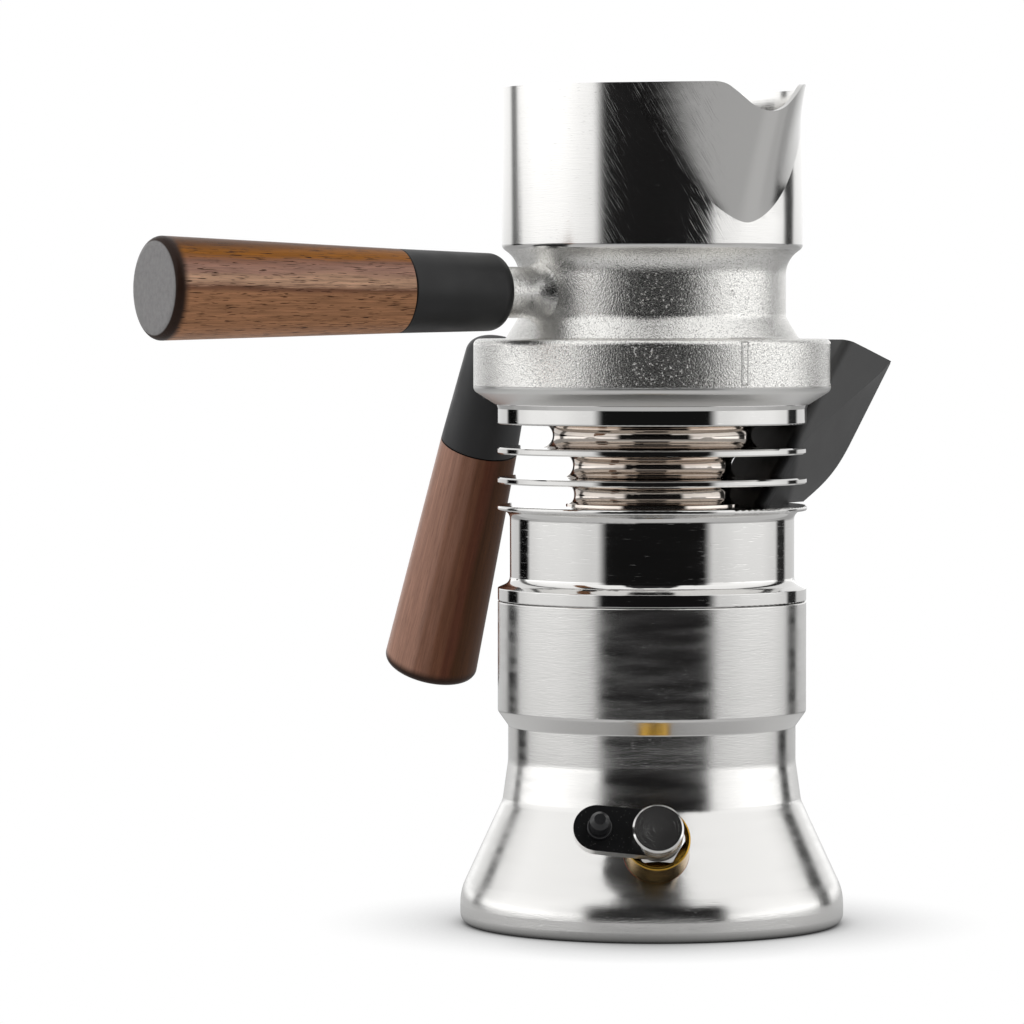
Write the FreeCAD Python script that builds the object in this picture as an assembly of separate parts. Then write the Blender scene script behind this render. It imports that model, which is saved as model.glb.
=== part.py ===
# Stovetop espresso maker with a cooling bath between its boiler and its brewing head.
# Millimetres, +Z up. The origin is the middle of the base's underside. The jug's handle
# points along -X, the boiler's handle hangs on the +Y side and the filler chute is on +X.
import FreeCAD
import Part
import math
import os

Vector = FreeCAD.Vector
UP = Vector(0, 0, 1)

# Boiler base: foot, cone, waist and threaded collar
FOOT_R = 55.2
FOOT_H = 9.3
FOOT_EDGE = 3.0
FOOT_ROUND = 16.0
CONE_TOP_R = 43.0
CONE_H = 26.35
WAIST_R = 41.4
CONE_TOP_ROUND = 5.0
TAPER_H = 11.35
WAIST_ROUND = 12.0
WAIST_H = 10.1
COLLAR_FLARE_H = 4.2
COLLAR_FLARE_ROUND = 0.6
COLLAR_R = 44.4
COLLAR_H = 31.6
COLLAR_ROUND = 1.6
RIM_EDGE = 0.4
BASE_WALL = 2.8
BASE_FLOOR = 4.0
THREAD_WALL = 3.4
THREAD_DEPTH = 23.3
BOILER_GASKET_T = 2.0

# Clearances
THREAD_PLAY = 0.1
SEAT_PLAY = 0.05
SEAM = 0.2

# Bath shell: flange, wall, roof fin and threaded skirt
FLANGE_T = 3.6
FLANGE_EDGE = 0.3
FLANGE_SLOPE_H = 1.6
FLANGE_COVE = 2.5
BATH_R = 40.9
BATH_H = 22.3
BATH_WALL = 3.3
SKIRT_WALL = 2.7
SKIRT_EDGE = 0.5
ROOF_T = 3.0
ROOF_FIN_T = 1.5
ROOF_COVE = 2.5
FIN_R = 44.6
FIN_ROUND = 0.6
FIN_BEVEL = 0.4
CHAMBER_ROUND = 1.5
BATH_FLOOR_T = 2.5
BATH_FLOOR_LIFT = 3.0

# Boiler head: each fin's gap below it, the core's radius in that gap and the fin's thickness
HEAD_FINS = ((6.3, 22.5, 1.8), (6.7, 22.8, 1.9), (6.6, 28.6, 5.6))
PLATE_IN = 0.1
PLATE_LIP = 0.4
PLATE_LIP_T = 1.2
SPIGOT_IN = 0.6
SPIGOT_H = 12.0
STUB_R = 15.0
STUB_END_T = 3.6
STUB_EDGE = 0.8
HEAD_FOOT_LIP = 2.4
HEAD_FOOT_T = 0.4
CHANNEL_R = 4.0
HEAD_PORT_R = 2.0
O_RING_R = 19.0
O_RING_WIRE = 1.0

# Cooling coil and its fittings
COIL_R = 28.0
COIL_WIRE = 2.0
COIL_TURNS = 2
COIL_LEAD_IN = 6.0
BANJO_R = 20.0
BANJO_T = 5.4
HEAD_NUT_AF = 36.0
HEAD_NUT_T = 5.8
UNION_R = 8.0
UNION_H = 6.0
UNION_SHANK_R = 7.4
UNION_SHANK_L = 7.5
UNION_NUT_AF = 22.0
UNION_NUT_T = 4.5
RISER_R = 5.0
RISER_WALL = 1.0
RISER_FOOT_GAP = 5.0
RISER_NOTCH_R = 2.5

# Brew valve in the head's core
VALVE_R = 9.0
VALVE_L = 18.0
VALVE_WALL = 2.5
VALVE_SEAT_T = 3.0
VALVE_PORT_R = 2.5
BREW_DISC_R = 5.5
BREW_DISC_T = 2.5
BREW_STEM_R = 1.5
BREW_STEM_L = 9.5
BREW_CAP_T = 4.0
BREW_CAP_HOLES = 6
BREW_CAP_HOLE_R = 1.0
BREW_SPRING_R = 3.6
BREW_SPRING_WIRE = 0.3
BREW_SPRING_TURNS = 5

# Filter basket, its gasket and the upper screen
BASKET_R = 29.2
BASKET_WALL = 0.8
BASKET_DEPTH = 14.0
BASKET_FLANGE_R = 33.0
BASKET_FLANGE_T = 1.2
BASKET_FLANGE_PLAY = 0.2
BASKET_LIP = 3.0
WELL_PLAY = 0.2
WELL_DEPTH = 15.8
SCREEN_T = 0.8
SCREEN_HOLE_R = 0.9
SCREEN_ROWS = 3
SCREEN_ROW_GAP = 7.5
GROUP_GASKET_T = 2.5
GROUP_GASKET_R = 30.5

# Jug: threaded ring, neck, cup, spout and handle stub
RING_R = 51.4
RING_H = 18.8
RING_FOOT = 1.2
RING_BEVEL_H = 3.9
RING_BEVEL_ROUND = 2.0
RING_EDGE = 1.8
RING_PAD_START = -91.6
RING_PAD_ANGLE = 62.0
RING_PAD_DEPTH = 0.25
RING_PAD_INSET = 1.4
NECK_R = 38.4
NECK_FOOT_R = 42.2
NECK_FLARE_H = 6.2
NECK_FLARE_ROUND = 3.0
NECK_H = 22.7
NECK_COVE = 8.0
CUP_FOOT_R = 43.2
CUP_R = 43.65
CUP_COVE_H = 3.3
CUP_H = 45.7
CUP_EDGE = 1.8
CUP_WALL = 1.7
NECK_WALL = 3.0
JUG_FLOOR_H = 8.0
JUG_FLOOR_T = 3.5
FUNNEL_R = 28.5
FUNNEL_H = 6.0
SPOUT_AZIMUTH = -84.0
SPOUT_H = 40.0
SPOUT_REACH = 13.85
SPOUT_REACH_POWER = 1.15
SPOUT_HALF_ANGLE = 54.0
SPOUT_ANGLE_POWER = 0.55
SPOUT_FULLNESS = 0.62
SPOUT_BLEND = 0.2
SPOUT_SECTIONS = 9
LIP_HALF = 14.2
LIP_DROP = 11.4
LIP_ROUND = 12.0
LIP_CUSP = 6.0

# Coffee column in the jug
COLUMN_R = 6.5
COLUMN_TIP_R = 5.2
COLUMN_H = 44.0
COLUMN_BORE_R = 3.5
COLUMN_FLANGE_R = 9.0
COLUMN_FLANGE_T = 2.0
COLUMN_THREAD_R = 5.0
COLUMN_CAP_R = 8.5
COLUMN_CAP_H = 9.0
COLUMN_CAP_WALL = 1.2
COLUMN_OUTLETS = 3
COLUMN_OUTLET_R = 1.6

# Handles: both have the same ferrule, grip and rod
STUB_RADIUS = 7.25
STUB_FLARE_R = 11.0
STUB_FLARE_L = 7.5
STUB_ROOT = 14.5
STUB_TENON = 4.4
FERRULE_L = 33.4
FERRULE_R = 10.9
FERRULE_END_R = 11.8
FERRULE_ROUND = 4.5
FERRULE_EDGE = 0.3
GRIP_L = 76.0
GRIP_R = 14.4
GRIP_ROUND = 2.5
GRIP_END_WALL = 8.0
ROD_R = 3.0
ROD_IN_STUB = 5.0
JUG_HANDLE_AT = 50.5
JUG_HANDLE_RISE = 13.2
JUG_HANDLE_TILT = 0.45
BOILER_HANDLE_Y = 85.5
BOILER_HANDLE_RISE = 17.1
BOILER_HANDLE_TILT = 23.8
BRACKET_HALF_W = 7.5
BRACKET_FERRULE_R = 10.0
BRACKET_FOOT_L = 15.0
BRACKET_FOOT_T = 5.0
BRACKET_ARM_OUT = 17.0
BRACKET_ARM_IN = 6.0
BRACKET_NECK_L = 12.0
BRACKET_HEEL_OUT = 9.0
BRACKET_HEEL_IN = 2.5
BRACKET_HEEL_ROUND = 3.0
BRACKET_INNER_ROUND = 4.0
BRACKET_SCREW_R = 2.0
BRACKET_SCREW_HEAD_R = 3.2
BRACKET_SCREW_X = 4.0
BRACKET_SCREW_IN = 4.5
BRACKET_SCREW_HEAD_T = 2.6
LUG_HALF_W = 9.0
RING_CLEARANCE = 1.6

# Filler chute: a moulded scoop with a keel, on the roof fin. Each OUT is measured outwards from the
# fin's edge and each IN inwards from it.
CHUTE_HALF_W = 15.0
CHUTE_WALL = 2.0
CHUTE_H = 47.5
CHUTE_TIP_OUT = 38.4
CHUTE_TIP_H = 40.2
CHUTE_BEND_OUT = 24.0
CHUTE_BEND_H = 16.4
CHUTE_KEEL_OUT = 7.7
CHUTE_BACK_IN = 16.8
CHUTE_BACK_TOP_OUT = 13.4
CHUTE_BACK_ROUND = 2.6
CHUTE_CREASE_IN = 8.2
CHUTE_CREASE_H = 14.1
CHUTE_CREASE_SLOPE = 1.683
CHUTE_SHOULDER = 5.0
CHUTE_NOSE = 2.7
CHUTE_BULGE = 2.6
CHUTE_SECTIONS = 9
CHUTE_PLAY = 0.6
CHUTE_RING_RISE = 10.1
CHUTE_MOUTH_FALL = 6.0
CHUTE_PORT_IN = 9.6
CHUTE_PORT_R = 2.2
CHUTE_SCREW_Y = 5.0
CHUTE_SCREW_R = 1.5
CHUTE_SCREW_HEAD_R = 2.4
CHUTE_SCREW_HEAD_T = 1.8
CHUTE_SCREW_L = 6.0

# Relief valve, square to the cone of the base
RELIEF_AZIMUTH = -120.4
RELIEF_RISE = 25.1
RELIEF_BOSS_R = 9.25
RELIEF_BOSS_L = 11.3
RELIEF_RIM_W = 0.9
RELIEF_RIM_DROP = 4.8
RELIEF_SINK = 1.0
RELIEF_SHANK_R = 6.0
RELIEF_SHANK_OVER = 1.0
RELIEF_WASHER_T = 0.8
RELIEF_NUT_AF = 17.0
RELIEF_NUT_T = 3.5
RELIEF_PAD_R = 11.0
RELIEF_HEX_AF = 14.0
RELIEF_HEX_T = 5.5
RELIEF_STUD_R = 3.4
RELIEF_CAP_R = 7.1
RELIEF_CAP_T = 4.5
RELIEF_CAP_BEVEL = 0.5
RELIEF_INLET_R = 1.5
RELIEF_CHAMBER_R = 2.6
RELIEF_CHAMBER_L = 13.5
RELIEF_POPPET_T = 2.5
RELIEF_POPPET_NOSE_R = 1.0
RELIEF_POPPET_NOSE_L = 2.0
RELIEF_SPRING_R = 1.8
RELIEF_SPRING_WIRE = 0.25
RELIEF_SPRING_TURNS = 6
LEVER_HALF_W = 6.7
LEVER_L = 16.8
LEVER_T = 3.2
LEVER_TILT = 6.1
LEVER_PLAY = 0.15
PIN_AT = 16.2
PIN_BASE_R = 3.5
PIN_BASE_T = 1.2
PIN_R = 2.75
PIN_H = 7.5
PIN_TIP_R = 1.6
PIN_TIP_L = 1.6
PIN_RIVET_R = 1.5

# Levels that follow from the sizes above
CONE_Z = FOOT_H
TAPER_Z = CONE_Z + CONE_H
WAIST_Z = TAPER_Z + TAPER_H
FLARE_Z = WAIST_Z + WAIST_H
COLLAR_Z = FLARE_Z + COLLAR_FLARE_H
RIM_Z = COLLAR_Z + COLLAR_H
BORE_R = COLLAR_R - THREAD_WALL
LEDGE_Z = RIM_Z - THREAD_DEPTH
SKIRT_Z = LEDGE_Z + BOILER_GASKET_T
FLANGE_Z = RIM_Z + SEAM
BATH_Z = FLANGE_Z + FLANGE_T
ROOF_FIN_Z = BATH_Z + BATH_H
ROOF_Z = ROOF_FIN_Z + ROOF_FIN_T
CHAMBER_TOP_Z = ROOF_Z - ROOF_T
FLOOR_Z = FLANGE_Z + BATH_FLOOR_LIFT
CHAMBER_Z = FLOOR_Z + BATH_FLOOR_T
CHAMBER_R = BATH_R - BATH_WALL
SKIRT_R = BORE_R - THREAD_PLAY
PLATE_TOP_Z = ROOF_Z + sum(gap + thickness for gap, core, thickness in HEAD_FINS)
PLATE_Z = PLATE_TOP_Z - HEAD_FINS[-1][2]
SPIGOT_Z = PLATE_TOP_Z + SPIGOT_H
WELL_Z = SPIGOT_Z - WELL_DEPTH
STUB_Z = CHAMBER_TOP_Z - BANJO_T - HEAD_NUT_T - 1.0
RING_Z = PLATE_TOP_Z + THREAD_PLAY
RING_TOP_Z = RING_Z + RING_H
PLATE_R = FIN_R - PLATE_IN
SPIGOT_R = PLATE_R - SPIGOT_IN
RING_BORE_R = SPIGOT_R + THREAD_PLAY
SEAT_Z = SPIGOT_Z + THREAD_PLAY + GROUP_GASKET_T
NECK_TOP_Z = RING_TOP_Z + NECK_H
CUP_Z = NECK_TOP_Z + CUP_COVE_H
CUP_RIM_Z = CUP_Z + CUP_H
JUG_FLOOR_Z = RING_TOP_Z + JUG_FLOOR_H
JUG_HANDLE_Z = RING_TOP_Z + JUG_HANDLE_RISE
SPOUT_Z = CUP_RIM_Z - SPOUT_H
COIL_LOW_Z = CHAMBER_Z + UNION_H / 2
COIL_HIGH_Z = CHAMBER_TOP_Z - BANJO_T / 2
CHUTE_TIP_X = FIN_R + CHUTE_TIP_OUT
CHUTE_BEND_X = FIN_R + CHUTE_BEND_OUT
CHUTE_KEEL_X = FIN_R + CHUTE_KEEL_OUT
CHUTE_BACK_X = FIN_R - CHUTE_BACK_IN
CHUTE_BACK_TOP_X = FIN_R + CHUTE_BACK_TOP_OUT
CHUTE_PORT_X = FIN_R - CHUTE_PORT_IN

# Levels along the relief valve's axis, from the cone's surface outwards
RELIEF_SEAT = RELIEF_WASHER_T - RELIEF_SINK
RELIEF_BACK = -RELIEF_SINK - BASE_WALL
RELIEF_END = RELIEF_BACK - RELIEF_NUT_T - RELIEF_SHANK_OVER
RELIEF_RIM = RELIEF_BOSS_L - RELIEF_RIM_DROP
HEX_TOP = RELIEF_RIM + RELIEF_HEX_T
LEVER_LOW = HEX_TOP + LEVER_PLAY
LEVER_HIGH = LEVER_LOW + LEVER_T
CAP_LOW = LEVER_HIGH + LEVER_PLAY
RELIEF_CHAMBER = CAP_LOW - RELIEF_CHAMBER_L
POPPET_TOP = RELIEF_CHAMBER + RELIEF_POPPET_T


def corner_arc(before, corner, after, radius):
    """Start, middle and end of the tangent arc that rounds one corner."""
    back = (before - corner).normalize()
    ahead = (after - corner).normalize()
    half = back.getAngle(ahead) / 2
    reach = radius / math.tan(half)
    inward = (back + ahead).normalize()
    middle = corner + inward * (radius / math.sin(half) - radius)
    return corner + back * reach, middle, corner + ahead * reach


def outline(corners):
    """Closed wire in the XZ plane through (x, z) or (x, z, corner radius) corners."""
    points = [Vector(corner[0], 0, corner[1]) for corner in corners]
    stops = []
    for index, corner in enumerate(corners):
        here = points[index]
        if len(corner) > 2:
            after = points[(index + 1) % len(points)]
            stops.append(corner_arc(points[index - 1], here, after, corner[2]))
        else:
            stops.append((here, None, here))
    edges = []
    for index, (start, middle, end) in enumerate(stops):
        if middle:
            edges.append(Part.Arc(start, middle, end).toShape())
        following = stops[(index + 1) % len(stops)][0]
        if end.distanceToPoint(following) > 1e-6:
            edges.append(Part.LineSegment(end, following).toShape())
    return Part.Wire(edges)


def turned(corners):
    """Solid of revolution about Z of an (r, z) outline."""
    return Part.Face(outline(corners)).revolve(Vector(0, 0, 0), UP, 360)


def inset(corners, wall):
    """The (r, z) corners of an open outline moved inwards, to the left of its run, by a wall."""
    lines = []
    for (r0, z0), (r1, z1) in zip(corners, corners[1:]):
        length = math.hypot(r1 - r0, z1 - z0)
        shift = (-(z1 - z0) / length * wall, (r1 - r0) / length * wall)
        lines.append(((r0 + shift[0], z0 + shift[1]), (r1 - r0, z1 - z0)))
    moved = [lines[0][0]]
    for ((x0, y0), (dx0, dy0)), ((x1, y1), (dx1, dy1)) in zip(lines, lines[1:]):
        along = ((x1 - x0) * dy1 - (y1 - y0) * dx1) / (dx0 * dy1 - dy0 * dx1)
        moved.append((x0 + along * dx0, y0 + along * dy0))
    (x, y), (dx, dy) = lines[-1]
    moved.append((x + dx, y + dy))
    return moved


def cylinder(radius, z0, z1, x=0.0, y=0.0):
    """Upright cylinder between two heights."""
    return Part.makeCylinder(radius, z1 - z0, Vector(x, y, z0))


def tube(outer, inner, z0, z1):
    """Upright ring between two heights."""
    return cylinder(outer, z0, z1).cut(cylinder(inner, z0 - 1, z1 + 1))


def block(x0, x1, y0, y1, z0, z1):
    """Box between two corners."""
    return Part.makeBox(x1 - x0, y1 - y0, z1 - z0, Vector(x0, y0, z0))


def hex_prism(across_flats, z0, z1):
    """Upright hexagonal prism with its corners bevelled at the top."""
    corner = across_flats / math.sqrt(3)
    points = [Vector(corner * math.cos(i * math.pi / 3), corner * math.sin(i * math.pi / 3), z0)
              for i in range(7)]
    prism = Part.Face(Part.makePolygon(points)).extrude(Vector(0, 0, z1 - z0))
    bevel = corner - across_flats / 2
    cone = turned([(0, z0), (corner, z0), (corner, z1 - bevel), (corner - bevel, z1), (0, z1)])
    return prism.common(cone)


def hex_nut(across_flats, bore, z0, z1):
    """Upright hexagonal nut."""
    return hex_prism(across_flats, z0, z1).cut(cylinder(bore, z0 - 1, z1 + 1))


def ring_of(shape, count):
    """Copies of a shape turned evenly about Z, as a list."""
    copies = []
    for index in range(count):
        copy = shape.copy()
        copy.rotate(Vector(0, 0, 0), UP, 360 * index / count)
        copies.append(copy)
    return copies


def helix_point(radius, pitch, z0, turn):
    """Point on an upright helix after a number of turns."""
    angle = 2 * math.pi * turn
    return Vector(radius * math.cos(angle), radius * math.sin(angle), z0 + pitch * turn)


def helix_edges(radius, pitch, z0, first, last):
    """Arcs of a quarter turn or less that follow an upright helix from turn first to last."""
    count = math.ceil((last - first) * 4)
    step = (last - first) / count
    edges = []
    for index in range(count):
        turns = [first + step * (index + part) for part in (0, 0.5, 1)]
        points = [helix_point(radius, pitch, z0, turn) for turn in turns]
        edges.append(Part.Arc(*points).toShape())
    return edges


def swept_round(edges, radius, start, direction):
    """Round bar of one radius along joined edges."""
    profile = Part.Wire(Part.Circle(start, direction, radius).toShape())
    return Part.Wire(edges).makePipeShell([profile], True, False)


def spring(radius, wire, z0, z1, turns):
    """Open coil spring whose wire stays between two heights."""
    low = z0 + wire
    pitch = (z1 - z0 - 2 * wire) / turns
    edges = helix_edges(radius, pitch, low, 0, turns)
    return swept_round(edges, wire, helix_point(radius, pitch, low, 0), Vector(0, 1, 0))


def perforated_disc(radius, z0, z1):
    """Flat screen with a middle hole and rows of six, twelve, ... holes round it."""
    disc = cylinder(radius, z0, z1)
    holes = [cylinder(SCREEN_HOLE_R, z0 - 1, z1 + 1)]
    for row in range(1, SCREEN_ROWS + 1):
        hole = cylinder(SCREEN_HOLE_R, z0 - 1, z1 + 1, x=row * SCREEN_ROW_GAP)
        holes += ring_of(hole, 6 * row)
    return disc.cut(holes)


def relief_frame():
    """Placement of the relief valve: +Z out of the cone, +X level and clockwise from above."""
    slope = math.atan2(FOOT_R - CONE_TOP_R, CONE_H)
    azimuth = math.radians(RELIEF_AZIMUTH)
    radius = FOOT_R - (RELIEF_RISE - CONE_Z) * math.tan(slope)
    flat = math.cos(slope)
    outward = Vector(flat * math.cos(azimuth), flat * math.sin(azimuth), math.sin(slope))
    level = Vector(math.sin(azimuth), -math.cos(azimuth), 0)
    spot = Vector(radius * math.cos(azimuth), radius * math.sin(azimuth), RELIEF_RISE)
    return FreeCAD.Placement(spot, FreeCAD.Rotation(level, outward.cross(level), outward, "ZXY"))


def moved_copy(shape, placement):
    """Copy of a shape with a placement applied before its own."""
    copy = shape.copy()
    copy.Placement = placement.multiply(copy.Placement)
    return copy


def boiler_base():
    """Turned steel cup: foot, cone, waist and collar, with a seat for the relief valve."""
    side = [(FOOT_R, 0), (FOOT_R, CONE_Z), (CONE_TOP_R, TAPER_Z), (WAIST_R, WAIST_Z), (WAIST_R, LEDGE_Z)]
    inner = inset(side, BASE_WALL)
    cup = turned([
        (0, 0), (FOOT_R, 0, FOOT_EDGE), (FOOT_R, CONE_Z, FOOT_ROUND), (CONE_TOP_R, TAPER_Z, CONE_TOP_ROUND),
        (WAIST_R, WAIST_Z, WAIST_ROUND), (WAIST_R, FLARE_Z, COLLAR_FLARE_ROUND),
        (COLLAR_R, COLLAR_Z, COLLAR_ROUND), (COLLAR_R, RIM_Z, RIM_EDGE), (BORE_R, RIM_Z, RIM_EDGE),
        (BORE_R, LEDGE_Z), (inner[-1][0], LEDGE_Z), (*inner[-2], WAIST_ROUND - BASE_WALL),
        (*inner[-3], CONE_TOP_ROUND), (*inner[-4], FOOT_ROUND - BASE_WALL),
        (inner[0][0], BASE_FLOOR, FOOT_EDGE), (0, BASE_FLOOR)])
    frame = relief_frame()
    pad = cylinder(RELIEF_PAD_R, -BASE_WALL - RELIEF_SINK, -1.3 * RELIEF_SINK)
    spot_face = cylinder(RELIEF_BOSS_R + SEAT_PLAY, -RELIEF_SINK, RELIEF_BOSS_L)
    hole = cylinder(RELIEF_SHANK_R + SEAT_PLAY, -4 * BASE_WALL, RELIEF_BOSS_L)
    cup = cup.fuse(moved_copy(pad, frame))
    return cup.cut([moved_copy(spot_face, frame), moved_copy(hole, frame)])


def relief_valve():
    """Every piece of the relief valve, in its place on the cone."""
    bore = RELIEF_SHANK_R + SEAT_PLAY
    nut = hex_nut(RELIEF_NUT_AF, bore, -RELIEF_NUT_T, 0)
    nut.translate(Vector(0, 0, RELIEF_BACK))
    coil = spring(RELIEF_SPRING_R, RELIEF_SPRING_WIRE, POPPET_TOP, CAP_LOW, RELIEF_SPRING_TURNS)
    shapes = {
        "relief_valve_body": relief_body(),
        "relief_washer": tube(RELIEF_BOSS_R, bore, -RELIEF_SINK, RELIEF_SEAT),
        "relief_nut": nut,
        "relief_hex": hex_nut(RELIEF_HEX_AF, RELIEF_STUD_R + SEAT_PLAY, RELIEF_RIM, HEX_TOP),
        "relief_poppet": relief_poppet(),
        "relief_spring": coil,
        "relief_cap": relief_cap(),
        "relief_lever": relief_lever(),
        "lever_pin": lever_pin()}
    frame = relief_frame()
    return {name: moved_copy(shape, frame) for name, shape in shapes.items()}


def relief_body():
    """Brass body with its shank through the cone, its boss, its stud and the poppet's chamber."""
    rim = RELIEF_BOSS_R - RELIEF_RIM_W
    return turned([
        (RELIEF_INLET_R, RELIEF_END), (RELIEF_SHANK_R, RELIEF_END, 0.6), (RELIEF_SHANK_R, RELIEF_SEAT),
        (RELIEF_BOSS_R, RELIEF_SEAT), (RELIEF_BOSS_R, RELIEF_BOSS_L, 0.5), (rim, RELIEF_BOSS_L),
        (rim - 0.2, RELIEF_RIM), (RELIEF_STUD_R, RELIEF_RIM), (RELIEF_STUD_R, CAP_LOW),
        (RELIEF_CHAMBER_R, CAP_LOW), (RELIEF_CHAMBER_R, RELIEF_CHAMBER), (RELIEF_INLET_R, RELIEF_CHAMBER)])


def relief_poppet():
    """Poppet on the seat of the chamber, with a nose inside the spring."""
    radius = RELIEF_CHAMBER_R - SEAT_PLAY
    nose_top = POPPET_TOP + RELIEF_POPPET_NOSE_L
    return turned([
        (0, RELIEF_CHAMBER), (radius, RELIEF_CHAMBER), (radius, POPPET_TOP),
        (RELIEF_POPPET_NOSE_R, POPPET_TOP), (RELIEF_POPPET_NOSE_R, nose_top), (0, nose_top)])


def relief_cap():
    """Turned cap over the lever's end and the spring."""
    top = CAP_LOW + RELIEF_CAP_T
    return turned([
        (0, CAP_LOW), (RELIEF_CAP_R, CAP_LOW, 0.3), (RELIEF_CAP_R, top - RELIEF_CAP_BEVEL),
        (RELIEF_CAP_R - RELIEF_CAP_BEVEL, top), (0, top)])


def relief_lever():
    """Stadium plate with a hole for the stud at one end and one for the pin at the other."""
    plate = cylinder(LEVER_HALF_W, LEVER_LOW, LEVER_HIGH)
    plate = plate.fuse([
        cylinder(LEVER_HALF_W, LEVER_LOW, LEVER_HIGH, x=LEVER_L),
        block(0, LEVER_L, -LEVER_HALF_W, LEVER_HALF_W, LEVER_LOW, LEVER_HIGH)]).removeSplitter()
    plate = plate.cut([
        cylinder(RELIEF_STUD_R + THREAD_PLAY, LEVER_LOW - 1, LEVER_HIGH + 1),
        cylinder(PIN_RIVET_R, LEVER_LOW - 1, LEVER_HIGH + 1, x=PIN_AT)])
    plate.rotate(Vector(0, 0, 0), UP, -LEVER_TILT)
    return plate


def lever_pin():
    """Stepped pin riveted in the lever's free end."""
    top = LEVER_HIGH + PIN_H
    step = LEVER_HIGH + PIN_BASE_T
    pin = turned([
        (0, LEVER_LOW), (PIN_RIVET_R, LEVER_LOW), (PIN_RIVET_R, LEVER_HIGH), (PIN_BASE_R, LEVER_HIGH),
        (PIN_BASE_R, step, 0.4), (PIN_R, step), (PIN_R, top - PIN_TIP_L), (PIN_TIP_R, top), (0, top)])
    pin.translate(Vector(PIN_AT, 0, 0))
    pin.rotate(Vector(0, 0, 0), UP, -LEVER_TILT)
    return pin


def bath_shell():
    """Upper boiler: skirt, flange, wall and roof fin, open below."""
    shell = turned([
        (SKIRT_R - SKIRT_WALL, SKIRT_Z), (SKIRT_R, SKIRT_Z, SKIRT_EDGE), (SKIRT_R, FLANGE_Z),
        (COLLAR_R, FLANGE_Z, FLANGE_EDGE), (COLLAR_R, BATH_Z, FLANGE_EDGE),
        (BATH_R, BATH_Z + FLANGE_SLOPE_H, FLANGE_COVE),
        (BATH_R, ROOF_FIN_Z, ROOF_COVE), (FIN_R, ROOF_FIN_Z, FIN_ROUND), (FIN_R, ROOF_Z, FIN_ROUND),
        (STUB_R + SEAT_PLAY, ROOF_Z), (STUB_R + SEAT_PLAY, CHAMBER_TOP_Z),
        (CHAMBER_R, CHAMBER_TOP_Z, CHAMBER_ROUND), (CHAMBER_R, CHAMBER_Z),
        (SKIRT_R - SKIRT_WALL, CHAMBER_Z)])
    holes = [cylinder(CHUTE_PORT_R, CHAMBER_TOP_Z - 1, ROOF_Z + 1, x=CHUTE_PORT_X)]
    for side in (-1, 1):
        holes.append(cylinder(CHUTE_SCREW_R + SEAT_PLAY, CHAMBER_TOP_Z - 1, ROOF_Z + 1,
                              x=CHUTE_PORT_X, y=side * CHUTE_SCREW_Y))
    return shell.cut(holes)


def bath_floor():
    """Disc that parts the bath from the boiler, with a hole for the riser's union."""
    return tube(SKIRT_R - SKIRT_WALL - SEAT_PLAY, UNION_SHANK_R + SEAT_PLAY, FLOOR_Z, CHAMBER_Z)


def boiler_head():
    """Head: stub, finned core, top plate with the handle's lug, and threaded spigot with its well."""
    groove_top = ROOF_Z + 1.6 * O_RING_WIRE
    corners = [
        (0, STUB_Z), (STUB_R, STUB_Z, STUB_EDGE), (STUB_R, ROOF_Z), (O_RING_R - O_RING_WIRE, ROOF_Z),
        (O_RING_R - O_RING_WIRE, groove_top), (O_RING_R + O_RING_WIRE, groove_top),
        (O_RING_R + O_RING_WIRE, ROOF_Z), (HEAD_FINS[0][1] + HEAD_FOOT_LIP, ROOF_Z),
        (HEAD_FINS[0][1] + HEAD_FOOT_LIP, ROOF_Z + HEAD_FOOT_T)]
    z = ROOF_Z
    for gap, core, thickness in HEAD_FINS:
        root = gap / 2 - 0.02
        if z == ROOF_Z:
            corners += [(core, z + HEAD_FOOT_T, HEAD_FOOT_LIP - 0.02), (core, z + gap, root)]
        else:
            corners += [(core, z, root), (core, z + gap, root)]
        z += gap
        if z < PLATE_Z - 0.01:
            corners += [
                (FIN_R - FIN_BEVEL, z), (FIN_R, z + FIN_BEVEL), (FIN_R, z + thickness - FIN_BEVEL),
                (FIN_R - FIN_BEVEL, z + thickness)]
            z += thickness
    well_r = BASKET_R + WELL_PLAY
    seat_r = BASKET_FLANGE_R + BASKET_FLANGE_PLAY
    corners += [
        (PLATE_R, PLATE_Z, 0.5), (PLATE_R, PLATE_TOP_Z - PLATE_LIP_T), (PLATE_R + PLATE_LIP, PLATE_TOP_Z),
        (SPIGOT_R, PLATE_TOP_Z), (SPIGOT_R, SPIGOT_Z, 0.5), (seat_r, SPIGOT_Z),
        (seat_r, SPIGOT_Z - BASKET_FLANGE_T), (well_r, SPIGOT_Z - BASKET_FLANGE_T), (well_r, WELL_Z, 1.0),
        (VALVE_R, WELL_Z), (VALVE_R, WELL_Z - VALVE_L), (CHANNEL_R, WELL_Z - VALVE_L),
        (CHANNEL_R, STUB_Z + STUB_END_T), (0, STUB_Z + STUB_END_T)]
    lug_end = RING_R + RING_CLEARANCE + BRACKET_FOOT_L
    lug = block(-LUG_HALF_W, LUG_HALF_W, PLATE_R - 3, lug_end, PLATE_Z, PLATE_TOP_Z)
    head = turned(corners).fuse(lug)
    ports = Part.makeCylinder(HEAD_PORT_R, STUB_R + 1, Vector(0, 0, COIL_HIGH_Z), coil_exit_direction())
    return head.cut([ports] + fin_notches() + bracket_screw_shanks(SEAT_PLAY))


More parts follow.
